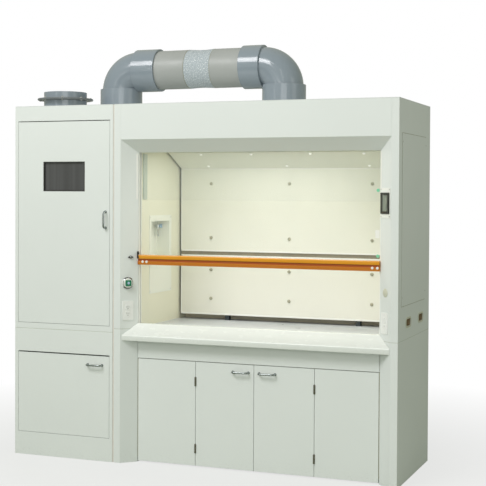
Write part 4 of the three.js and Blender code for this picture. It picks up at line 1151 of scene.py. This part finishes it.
def sash_bar():
    low, high = in_frame(HOOD, "sash_handle_bar")
    bottom, top = low.z, high.z
    glass_low, glass_high = in_frame(HOOD, "sash_glass")
    outline = bar_profile(bottom) + [(BAR_BACK, bottom), (BAR_BACK, top)]
    bm = bmesh.new()
    near, far = low.x + BAR_END_CAP, high.x
    add_bar(bm, outline, near, far - near)
    jaw = BAR_JAW_START - low.x
    front, back = glass_low.y - 0.4, glass_high.y + 0.4
    seat = glass_low.z - 0.4
    clip = [(BAR_BACK - 1, bottom), (high.y, bottom), (high.y, top), (back, top), (back, seat),
            (front, seat), (front, top), (BAR_BACK - 1, top)]
    add_bar(bm, clip, low.x + jaw, high.x - low.x - 2 * jaw)
    bar = piece("sash_bar_extrusion", bm, HOOD, "sash", "orange", bevel=0.7, angle=30)
    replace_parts(bar, "sash_handle_bar")
    # End caps reuse the groove's dark orange as their own colour.
    ends = shape(add_bar, outline, low.x, BAR_END_CAP - 0.4)
    piece("sash_bar_end_caps", ends, HOOD, "sash", "groove", bevel=0.8, angle=30)
    # Lower band in a darker copy of the orange: painted shade on the face that looks down.
    band = bmesh.new()
    lip = [(66.4, bottom + 20.5), (67.8, bottom + 1.5), (72, bottom + 1.5), (72, bottom + 20.5)]
    add_bar(band, lip, near + 0.5, far - near - 1)
    piece("sash_bar_lower_band_painted_shade", band, HOOD, "sash", "orange_painted_shade", bevel=0.6)
    # Dark strip set into the groove: painted shade in the recess.
    strip = shape(add_box, (near + 0.5, far - 0.5), (71.5, 75.5), (bottom + 21.6, bottom + 36))
    piece("sash_bar_groove_painted_shade", strip, HOOD, "sash", "groove", bevel=0.8)
    caps = bmesh.new()
    for along in BAR_CAPS:
        spot = moved(along, 66.4, bottom + 19) @ FACING_FRONT
        add_lathe(caps, [(0, 3.6), (4, 3.5), (7, 2.4), (8, 0.6), (8, -4), (0, -4)], spot, 32)
    piece("sash_bar_screw_caps", caps, HOOD, "sash", "trim")
    stop = bmesh.new()
    wedge = [(0, -22), (15, -20), (8, 4), (3, 22), (0, 22)]
    add_prism(stop, [(low.x - 0.5 + x, 60.5, top + z) for x, z in wedge], (0, 2.4, 0))
    add_prism(stop, [(low.x - 0.5 + x, 62.5, top + z) for x, z in wedge[2:] + [(0, 1)]], (0, 20, 0))
    piece("sash_rubber_stop", stop, HOOD, "sash", "rubber", bevel=0.6)


# ---- Fittings on the slanted faces ----
def face_box(place, node):
    """Low and high corner of a CAD node measured in a slanted face's frame."""
    back = place.inverted()
    points = [back @ vertex.co for vertex in nodes[node].data.vertices]
    return [Vector([pick(p[i] for p in points) for i in range(3)]) for pick in (min, max)]


def outlet(node, place):
    """Duplex earthed outlet: a soft-cornered cover with two sockets."""
    low, high = face_box(place, node)
    u, v, width, height = middle_and_size(low, high)
    cover = shape(add_plate, u, v, width, height, 7, (low.y + 2.5, high.y))
    shell = raw_object(f"{node}_cover", cover, place)
    slots = bmesh.new()
    centres = (v + 19, v - 21)
    for z in centres:
        for dx in (-6.4, 6.4):
            add_box(slots, (u + dx - 1.7, u + dx + 1.7), (low.y - 5, low.y + 6.5), (z - 1, z + 9))
        add_lathe(slots, [(0, -6), (3, -6), (3, 8), (0, 8)], moved(u, low.y, z - 8) @ FACING_FRONT, 20)
    faces = bmesh.new()
    for z in centres:
        add_plate(faces, u, z, 34, 33, 8, (low.y, low.y + 4))
    combine(shell, [raw_object("Part", faces, place)], "UNION")
    combine(shell, [raw_object("Part", slots, place)], "DIFFERENCE")
    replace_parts(dress(shell, "cabinet", "outlet", bevel=0.7), node)
    dark = bmesh.new()
    for z in centres:
        add_plate(dark, u, z, 24, 24, 3, (low.y + 5.2, low.y + 6.0))
    piece(f"{node}_contacts", dark, place, "cabinet", "black")


def airflow_monitor():
    low, high = face_box(RIGHT_FACE, "airflow_monitor")
    u, v, width, height = middle_and_size(low, high)
    plate = shape(add_plate, u, v, width, height, 5, (high.y - 2, high.y))
    base = piece("monitor_plate", plate, RIGHT_FACE, "cabinet", "trim", bevel=0.5)
    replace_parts(base, "airflow_monitor")
    centre_z = v - 1.5
    case = shape(add_plate, u, centre_z, 92, 122, 4, (low.y, high.y - 1.6))
    window = shape(add_plate, u, centre_z, 50, 92, 2, (low.y - 2, low.y + 3))
    shell = cut_out("monitor_bezel", case, window, RIGHT_FACE)
    dress(shell, "cabinet", "black", bevel=1.4, segments=3)
    glass = shape(add_plate, u, centre_z, 49, 91, 2, (low.y + 1.6, low.y + 3.4))
    piece("monitor_display", glass, RIGHT_FACE, "cabinet", "display", bevel=0.3)
    screws = bmesh.new()
    for x in (u - width / 2 + 7, u + width / 2 - 7):
        for z in (v - height / 2 + 9, v + height / 2 - 9):
            add_screw(screws, moved(x, high.y - 2, z) @ FACING_FRONT, 4, 2.2)
    piece("monitor_screws", screws, RIGHT_FACE, "cabinet", "steel")


KNOB_GRIPS = 24
KNOB_ARC = math.radians(104)


def tap_knob():
    low, high = face_box(LEFT_FACE, "tap_knob")
    u, v, width, _ = middle_and_size(low, high)
    radius = width / 2
    facing = moved(u, 0, v) @ FACING_FRONT
    dial = bmesh.new()
    add_lathe(dial, [(0, 1), (radius - 1, 1), (radius, 2), (radius, 7), (radius - 2, 9), (radius - 7, 9.6),
                     (radius - 8, 13.5), (radius - 10, 15), (0, 15)], facing, 64)
    grips = bmesh.new()
    for i in range(KNOB_GRIPS):
        angle = 2 * math.pi * i / KNOB_GRIPS
        notch = facing @ moved((radius + 1) * math.cos(angle), (radius + 1) * math.sin(angle), 5)
        add_lathe(grips, [(0, -6), (2.4, -6), (2.4, 6), (0, 6)], notch, 12)
    shell = cut_out("control_knob_dial", dial, grips, LEFT_FACE)
    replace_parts(dress(shell, "control_knob", "trim", bevel=0.4), "tap_knob")
    ring = shape(add_lathe, [(radius - 6.5, 9.2), (radius - 3, 9.2), (radius - 3, 10.4), (radius - 4, 11.2),
                             (radius - 6, 11.2), (radius - 6.5, 10.4), (radius - 6.5, 9.2)], facing, 64)
    piece("control_knob_ring", ring, LEFT_FACE, "control_knob", "chrome")
    # Black arcs over the dial's rim at top and bottom: painted shade.
    shade_arcs = bmesh.new()
    for start in (math.radians(38), math.radians(218)):
        arc = [start + KNOB_ARC * i / 16 for i in range(17)]
        line = [((radius + 0.6) * math.cos(a), (radius + 0.6) * math.sin(a)) for a in arc]
        line += [((radius - 5) * math.cos(a), (radius - 5) * math.sin(a)) for a in arc[::-1]]
        add_prism(shade_arcs, [facing @ Vector((a, b, 3)) for a, b in line], (0, -6.8, 0))
    piece("control_knob_arcs", shade_arcs, LEFT_FACE, "control_knob", "black", bevel=0.5)
    cap = shape(add_prism, [facing @ Vector((a, b, 14)) for a, b in rounded_outline(36, 36, 4)], (0, -12, 0))
    piece("control_knob_cap", cap, LEFT_FACE, "control_knob", "green", bevel=1.4, segments=3)
    # Pale blue disc in the middle of the cap: a painted highlight.
    inset = shape(add_lathe, [(0, 25.4), (8.2, 25.4), (8.2, 26.4), (6.8, 27.2), (0, 27.6)], facing, 40)
    piece("control_knob_painted_highlight", inset, LEFT_FACE, "control_knob", "pale_blue")
    stem = shape(add_lathe, [(0, -25), (6, -25), (6, 2), (0, 2)], facing, 24)
    piece("control_knob_spindle", stem, LEFT_FACE, "control_knob", "steel")


def selector_knob():
    low, high = face_box(LEFT_FACE, "selector_knob")
    u, v, width, _ = middle_and_size(low, high)
    side = width / math.sqrt(2)
    facing = moved(u, 0, v) @ FACING_FRONT
    bm = bmesh.new()
    diamond = [turned(math.pi / 4, "Z") @ Vector((a, b, 0)) for a, b in rounded_outline(side, side, 3)]
    head = [facing @ Vector((corner.x * 1.35, corner.y * 0.72, 1)) for corner in diamond]
    add_prism(bm, head, (0, -7, 0))
    add_lathe(bm, [(0, -20), (4, -20), (4, 2), (0, 2)], facing, 20)
    knob = piece("selector_head", bm, LEFT_FACE, "selector", "black", bevel=1.0, segments=3)
    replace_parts(knob, "selector_knob")
    boss = shape(add_lathe, [(0, 7.5), (5.5, 7.5), (5.5, 9.5), (4.4, 10.8), (0, 11.2)], facing, 32)
    piece("selector_boss", boss, LEFT_FACE, "selector", "chrome")


def blank_cap():
    bm = bmesh.new()
    facing = moved(SLANT_LENGTH - 58, -0.3, 1112) @ FACING_FRONT
    add_lathe(bm, [(0, 0), (25, 0), (25, 1.6), (22, 4), (14, 5.4), (0, 6)], facing, ROUND)
    piece("blank_cap", bm, RIGHT_FACE, "cabinet", "beige")


# ---- Chamber details ----
KNOB_COLUMNS = (362, 909, 1460)
KNOB_HEIGHTS = (1740, 1383, 1171, 980)
SCREW_CAPS_HIGH = (366, 712, 1107, 1454)
SCREW_CAPS_LOW = (357, 903, 1449)


def baffle_knobs():
    front = in_frame(HOOD, "baffle_upper")[0].y
    knob = [(0, 0), (11, 0), (11, 1.5), (9, 2.5), (9, 8), (7.6, 10), (3.2, 11), (3.0, 9.6), (0, 9.6)]
    bm = bmesh.new()
    for x in KNOB_COLUMNS:
        for z in KNOB_HEIGHTS:
            add_lathe(bm, knob, moved(x, front - 0.2, z) @ FACING_FRONT, 32)
    piece("baffle_knobs", bm, HOOD, "cabinet", "knob")


def sloped_baffle_caps():
    """Screw caps on the face of the sloped baffle that looks down and forwards."""
    mesh = bmesh.new()
    mesh.from_mesh(nodes["baffle_top"].data)
    mesh.transform(nodes["baffle_top"].matrix_world)
    surface = BVHTree.FromBMesh(mesh)
    bm = bmesh.new()
    for xs, y in ((SCREW_CAPS_HIGH, 506), (SCREW_CAPS_LOW, 655)):
        for x in xs:
            below = HOOD @ Vector((x, y, 1500))
            point, normal, _, _ = surface.ray_cast(below, Vector((0, 0, 1)))
            spot = HOOD.inverted() @ point
            facing = Matrix.Translation(spot) @ normal.to_track_quat("Z", "Y").to_matrix().to_4x4()
            add_lathe(bm, [(0, -2), (9, -2), (9, 2), (7.4, 4.2), (4, 5), (0, 5.2)], facing, 28)
    mesh.free()
    # Caps in the glowing cap plastic: painted light that keeps them bright under the header.
    piece("sloped_baffle_caps", bm, HOOD, "cabinet", "cap")


def baffle_edging():
    """White edging strips along the foot, head and sides of the two upright baffles."""
    bm = bmesh.new()
    for node in ("baffle_lower", "baffle_upper"):
        low, high = in_frame(HOOD, node)
        y = (low.y - 1.4, low.y + 6.4)
        add_box(bm, (low.x - 1, high.x + 1), y, (low.z - 5.5, low.z + 5))
        add_box(bm, (low.x - 1, high.x + 1), y, (high.z - 4, high.z + 6))
        add_box(bm, (low.x - 1.6, low.x + 6), y, (low.z, high.z))
        add_box(bm, (high.x - 6, high.x + 1.6), y, (low.z, high.z))
    piece("baffle_edging", bm, HOOD, "cabinet", "trim", bevel=0.5)


CLAMP_COVER_START = 117
CLAMP_TOP = 1920


def glass_clamps():
    """Strips that hold the fixed upper glass against the side walls."""
    glass_low, glass_high = in_frame(HOOD, "upper_glass")
    strips, screws = bmesh.new(), bmesh.new()
    for side in (1, -1):
        wall = POST_INNER + 5 if side > 0 else mirrored(POST_INNER + 5)
        x = sorted((wall + side * 1.0, wall + side * 4.0))
        add_box(strips, x, (glass_high.y + 0.5, 193), (glass_low.z + 4, CLAMP_TOP))
        for z in (glass_low.z + 60, 1860):
            spot = moved(wall + side * 4, 172, z) @ turned(side * math.pi / 2, "Y")
            add_screw(screws, spot, 4.5, 2.4)
    piece("glass_clamp_strips", strips, HOOD, "cabinet", "clamp", bevel=0.8)
    piece("glass_clamp_screws", screws, HOOD, "cabinet", "steel")
    covers = bmesh.new()
    start = CLAMP_COVER_START
    on_face = POST_DEPTH * (start - POST_STRIP) / (POST_INNER - POST_STRIP)
    edge = POST_INNER + 1.5
    outline = [(start, on_face - 2), (edge, POST_DEPTH - 1.6), (edge, POST_DEPTH - 0.2),
               (POST_INNER, POST_DEPTH - 0.2), (start, on_face - 0.3)]
    foot = glass_low.z + 4
    for line in (outline, [(mirrored(x), y) for x, y in outline]):
        add_prism(covers, [(x, y, foot) for x, y in line], (0, 0, CLAMP_TOP - foot))
    piece("glass_side_covers", covers, HOOD, "cabinet", "trim", bevel=0.4)


def side_screws(node, inset_front, inset_back, inset_z, radius, height):
    """Mesh of four screw heads near the corners of a part's right side."""
    low, high = in_frame(HOOD, node)
    bm = bmesh.new()
    for y in (low.y + inset_front, high.y - inset_back):
        for z in (low.z + inset_z, high.z - inset_z):
            add_screw(bm, moved(high.x, y, z) @ FACING_RIGHT, radius, height)
    return bm


def niche_screws():
    screws = side_screws("service_niche", 12, 12, 14, 5.5, 2.6)
    piece("niche_screws", screws, HOOD, "cabinet", "trim")


def gas_cock():
    """Chromed cock on the niche's back: stem, body and a barbed hose nozzle."""
    low, high = in_frame(HOOD, "gas_cock")
    x, y = high.x - 12, (low.y + high.y) / 2
    top = high.z
    centre_z = top - 12
    bm = bmesh.new()
    stem = moved(low.x, y, centre_z) @ FACING_RIGHT
    add_lathe(bm, [(0, 0), (8, 0), (8, x - low.x), (0, x - low.x)], stem, 32)
    body = [(0, -16), (9, -16), (12, -12), (12, 8), (9, 12), (0, 12)]
    add_lathe(bm, body, moved(x, y, centre_z), 36)
    nozzle = [(0, -70), (4.5, -70)]
    for i in range(4):
        z = -68 + i * 10
        nozzle += [(5.4, z), (7.6, z + 8), (5.6, z + 8.6)]
    nozzle += [(6, -26), (6, -14), (0, -14)]
    add_lathe(bm, nozzle, moved(x, y, centre_z), 32)
    cock = piece("gas_cock_body", bm, HOOD, "cabinet", "chrome", angle=30)
    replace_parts(cock, "gas_cock")
    knob_low, knob_high = in_frame(HOOD, "gas_cock_knob")
    length = knob_high.x - knob_low.x
    facing = moved(knob_low.x, y, centre_z) @ FACING_RIGHT
    grip = bmesh.new()
    hub = [(0, 0), (10, 0), (11.5, 2), (11.5, length * 0.35), (9, length * 0.5), (0, length * 0.5)]
    add_lathe(grip, hub, facing, 36)
    wing = [facing @ Vector((a, b, 5)) for a, b in rounded_outline(26, 7, 3)]
    add_prism(grip, wing, (length * 0.55, 0, 0))
    knob = piece("gas_cock_grip", grip, HOOD, "cock_knob", "pale_blue", bevel=0.8)
    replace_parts(knob, "gas_cock_knob")


def worktop_seals():
    """Sealant beads along the two ends of the work surface, where it meets the liners."""
    low, high = in_frame(HOOD, "work_surface")
    bm = bmesh.new()
    back = in_frame(HOOD, "baffle_lower")[0].y + 3
    for x in (low.x - 1.2, high.x - 2.0):
        add_box(bm, (x, x + 3.2), (124, back), (high.z - 1.0, high.z + 2.0))
    piece("worktop_sealant", bm, HOOD, "cabinet", "trim", bevel=0.9)


TUBE_LENGTH = 900


def lamp():
    low, high = in_frame(HOOD, "lamp_housing")
    y, z = (low.y + high.y) / 2, high.z - 32
    bm = bmesh.new()
    tube = [(0, 0), (12, 0), (13, 1), (13, TUBE_LENGTH - 1), (12, TUBE_LENGTH), (0, TUBE_LENGTH)]
    add_lathe(bm, tube, moved(low.x + 50, y, z) @ FACING_RIGHT, 28)
    piece("lamp_tube", bm, HOOD, "cabinet", "tube")
    sockets = bmesh.new()
    for x in (low.x + 34, low.x + TUBE_LENGTH + 51):
        add_box(sockets, (x, x + 15), (y - 14, y + 14), (z - 14, high.z - 2.2))
    piece("lamp_sockets", sockets, HOOD, "cabinet", "trim", bevel=2)


MARK_X = 1653
MARK_HEIGHTS = (458, 78)


def sash_marks():
    """Plain round marks and a blank label stuck near the glass's right edge."""
    low = in_frame(HOOD, "sash_glass")[0]
    marks, label = bmesh.new(), bmesh.new()
    for above in MARK_HEIGHTS:
        spot = moved(MARK_X, low.y, low.z + above) @ FACING_FRONT
        add_lathe(marks, [(0, 0), (10, 0), (10, 0.4), (0, 0.4)], spot, 36)
    piece("sash_round_marks", marks, HOOD, "sash", "green_mark")
    add_plate(label, MARK_X - 3, low.z + 205, 24, 48, 2, (low.y - 0.4, low.y))
    piece("sash_blank_label", label, HOOD, "sash", "trim")


# ---- Right side and scrubber window ----
def access_screws():
    screws = side_screws("access_panel", 8, 6, 50, 4, 1.8)
    piece("access_panel_screws", screws, HOOD, "cabinet", "steel")


GASKET_BAND = 14
GASKET_SHOWS = 2.5


def access_gasket():
    """Dark gasket whose edge shows round the raised access panel, as four mitred bars."""
    low, high = in_frame(HOOD, "access_panel")
    place = moved(HOOD_WIDTH, 0, 0) @ turned(math.pi / 2, "Z")
    u, v = (low.y + high.y) / 2, (low.z + high.z) / 2
    half_w, half_h = ((size + 2 * GASKET_SHOWS) / 2 for size in (high.y - low.y, high.z - low.z))
    corners = [(-1, -1), (1, -1), (1, 1), (-1, 1)]
    bm = bmesh.new()
    for (a, b), (c, d) in zip(corners, corners[1:] + corners[:1]):
        outline = [(u + a * half_w, v + b * half_h), (u + c * half_w, v + d * half_h),
                   (u + c * (half_w - GASKET_BAND), v + d * (half_h - GASKET_BAND)),
                   (u + a * (half_w - GASKET_BAND), v + b * (half_h - GASKET_BAND))]
        add_prism(bm, [place @ Vector((x, -0.35, z)) for x, z in outline],
                  place.to_3x3() @ Vector((0, 0.35, 0)))
    piece("access_panel_gasket", bm, HOOD, "cabinet", "joint")


# ---- Joints between sheets ----
def ribbon(bm, path, z, thick):
    """Upright strip along a plan path, thickened to its left."""
    outline = [(x, y, z[0]) for x, y in path + offset_line(path, thick)[::-1]]
    add_prism(bm, outline, (0, 0, z[1] - z[0]))


SEAM_INSET = 0.9
SEAM_THICK = 1.6


def seam_strips():
    """Strips that close the level joints of the two carcasses, just below their faces."""
    base_top = in_frame(HOOD, "base_side_left")[1].z
    skin_low, skin_high = in_frame(HOOD, "side_skin_left")
    z = (base_top - 0.5, skin_low.z + 0.5)
    back, inset = skin_high.y - 1, SEAM_INSET
    bm = bmesh.new()
    left = [(inset, back), (inset, inset), (POST_STRIP, inset), (POST_INNER, POST_DEPTH + inset)]
    for line in (left, [(mirrored(x), y) for x, y in left[::-1]]):
        ribbon(bm, line, z, SEAM_THICK)
    piece("hood_seam_strips", bm, HOOD, "cabinet", "seam")
    low, high = in_frame(SCRUBBER, "scrubber_lower_casing")
    upper = in_frame(SCRUBBER, "scrubber_upper_casing")[0]
    ring = bmesh.new()
    x0, x1, y0, y1 = low.x + inset, high.x - inset, low.y + inset, high.y - inset
    ribbon(ring, [(x0, y1), (x0, y0), (x1, y0), (x1, y1)], (high.z - 0.5, upper.z + 0.5), SEAM_THICK)
    piece("scrubber_seam_strips", ring, SCRUBBER, "cabinet", "seam")


def unit_joint():
    """Filler strips between the scrubber cabinet and the hood, at the front and the back."""
    scrubber_right = in_frame(HOOD, "scrubber_upper_casing")[1].x
    top = in_frame(HOOD, "hood_roof")[0].z
    bm = bmesh.new()
    for depths in ((3.5, 24), (760, 784)):
        add_box(bm, (scrubber_right + 0.2, -0.2), depths, (1, top - 1))
    piece("unit_joint_strip", bm, HOOD, "cabinet", "filler")


def base_gap_strips():
    """Dark stop strips behind the gaps of the base cupboard's front."""
    panel_low = in_frame(HOOD, "base_panel_left")[0]
    bm = bmesh.new()
    front = POST_DEPTH + 3.0
    add_box(bm, (POST_INNER + 0.4, panel_low.x - 0.4), (front, front + 12), (32, 648))
    add_box(bm, (mirrored(panel_low.x - 0.4), mirrored(POST_INNER + 0.4)), (front, front + 12), (32, 648))
    add_box(bm, (POST_INNER + 4, mirrored(POST_INNER + 4)), (front + 16.5, front + 19), (640, 668))
    piece("base_gap_strips", bm, HOOD, "cabinet", "joint")


SERVICE_CENTRES = (250, 566)
SERVICE_Z = 928
TRIM_OUTSIDE, TRIM_INSIDE = (132, 62, 26), (112, 42, 15)
LINING_OUTSIDE, LINING_INSIDE = (118, 48, 18), (113, 43, 15)


def service_grommets():
    """Raised trims round the two service openings, and the linings behind them."""
    def oval(centre, outline, start, depth):
        bm = bmesh.new()
        section = [(centre + a, SERVICE_Z + b) for a, b in rounded_outline(*outline)]
        add_bar(bm, section, HOOD_WIDTH + start, depth)
        return bm

    for number, y in enumerate(SERVICE_CENTRES, 1):
        outside, inside = oval(y, TRIM_OUTSIDE, 0, 3), oval(y, TRIM_INSIDE, -5, 12)
        trim = cut_out(f"service_trim_{number}", outside, inside, HOOD)
        dress(trim, "cabinet", "beige", bevel=0.9)
        outside, inside = oval(y, LINING_OUTSIDE, -44, 41.6), oval(y, LINING_INSIDE, -50, 60)
        lining = cut_out(f"service_lining_{number}", outside, inside, HOOD)
        dress(lining, "cabinet", "lining", bevel=0.4)


def scrubber_window():
    low, high = in_frame(SCRUBBER, "upper_window")
    u, v, width, height = middle_and_size(low, high)
    gasket = shape(add_plate, u, v, width, height, 3, (low.y, high.y))
    hole = shape(add_plate, u, v, width - 12, height - 12, 2, (low.y - 2, high.y + 2))
    shell = cut_out("window_gasket", gasket, hole, SCRUBBER)
    dress(shell, "scrubber_upper_door", "rubber", bevel=0.8)
    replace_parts(shell, "upper_window")
    pane = shape(add_plate, u, v, width - 8, height - 8, 2, (high.y - 6, high.y - 2))
    piece("window_smoked_pane", pane, SCRUBBER, "scrubber_upper_door", "pane", bevel=0.4)


# ---- Assembly ----
bpy.context.scene.view_settings.view_transform = "Standard"
for build in (make_camera, make_lights, make_world, make_floor, dress_cad_nodes):
    build()
elbow("scrubber_elbow", 1)
elbow("hood_elbow", -1)
duct_pipe("duct_pipe_left")
duct_pipe("duct_pipe_right")
for build in (flexible_sleeve, exhaust_collar, fan_parts, fan_impeller, handles, base_hinges,
              sill_ledge, sash_pane, sash_bar):
    build()
outlet("outlet_left", LEFT_FACE)
outlet("outlet_right", RIGHT_FACE)
for build in (airflow_monitor, tap_knob, selector_knob, blank_cap, baffle_knobs, sloped_baffle_caps,
              baffle_edging, glass_clamps, niche_screws, gas_cock, worktop_seals, lamp, sash_marks,
              access_screws, access_gasket, seam_strips, unit_joint, base_gap_strips,
              service_grommets, scrubber_window):
    build()
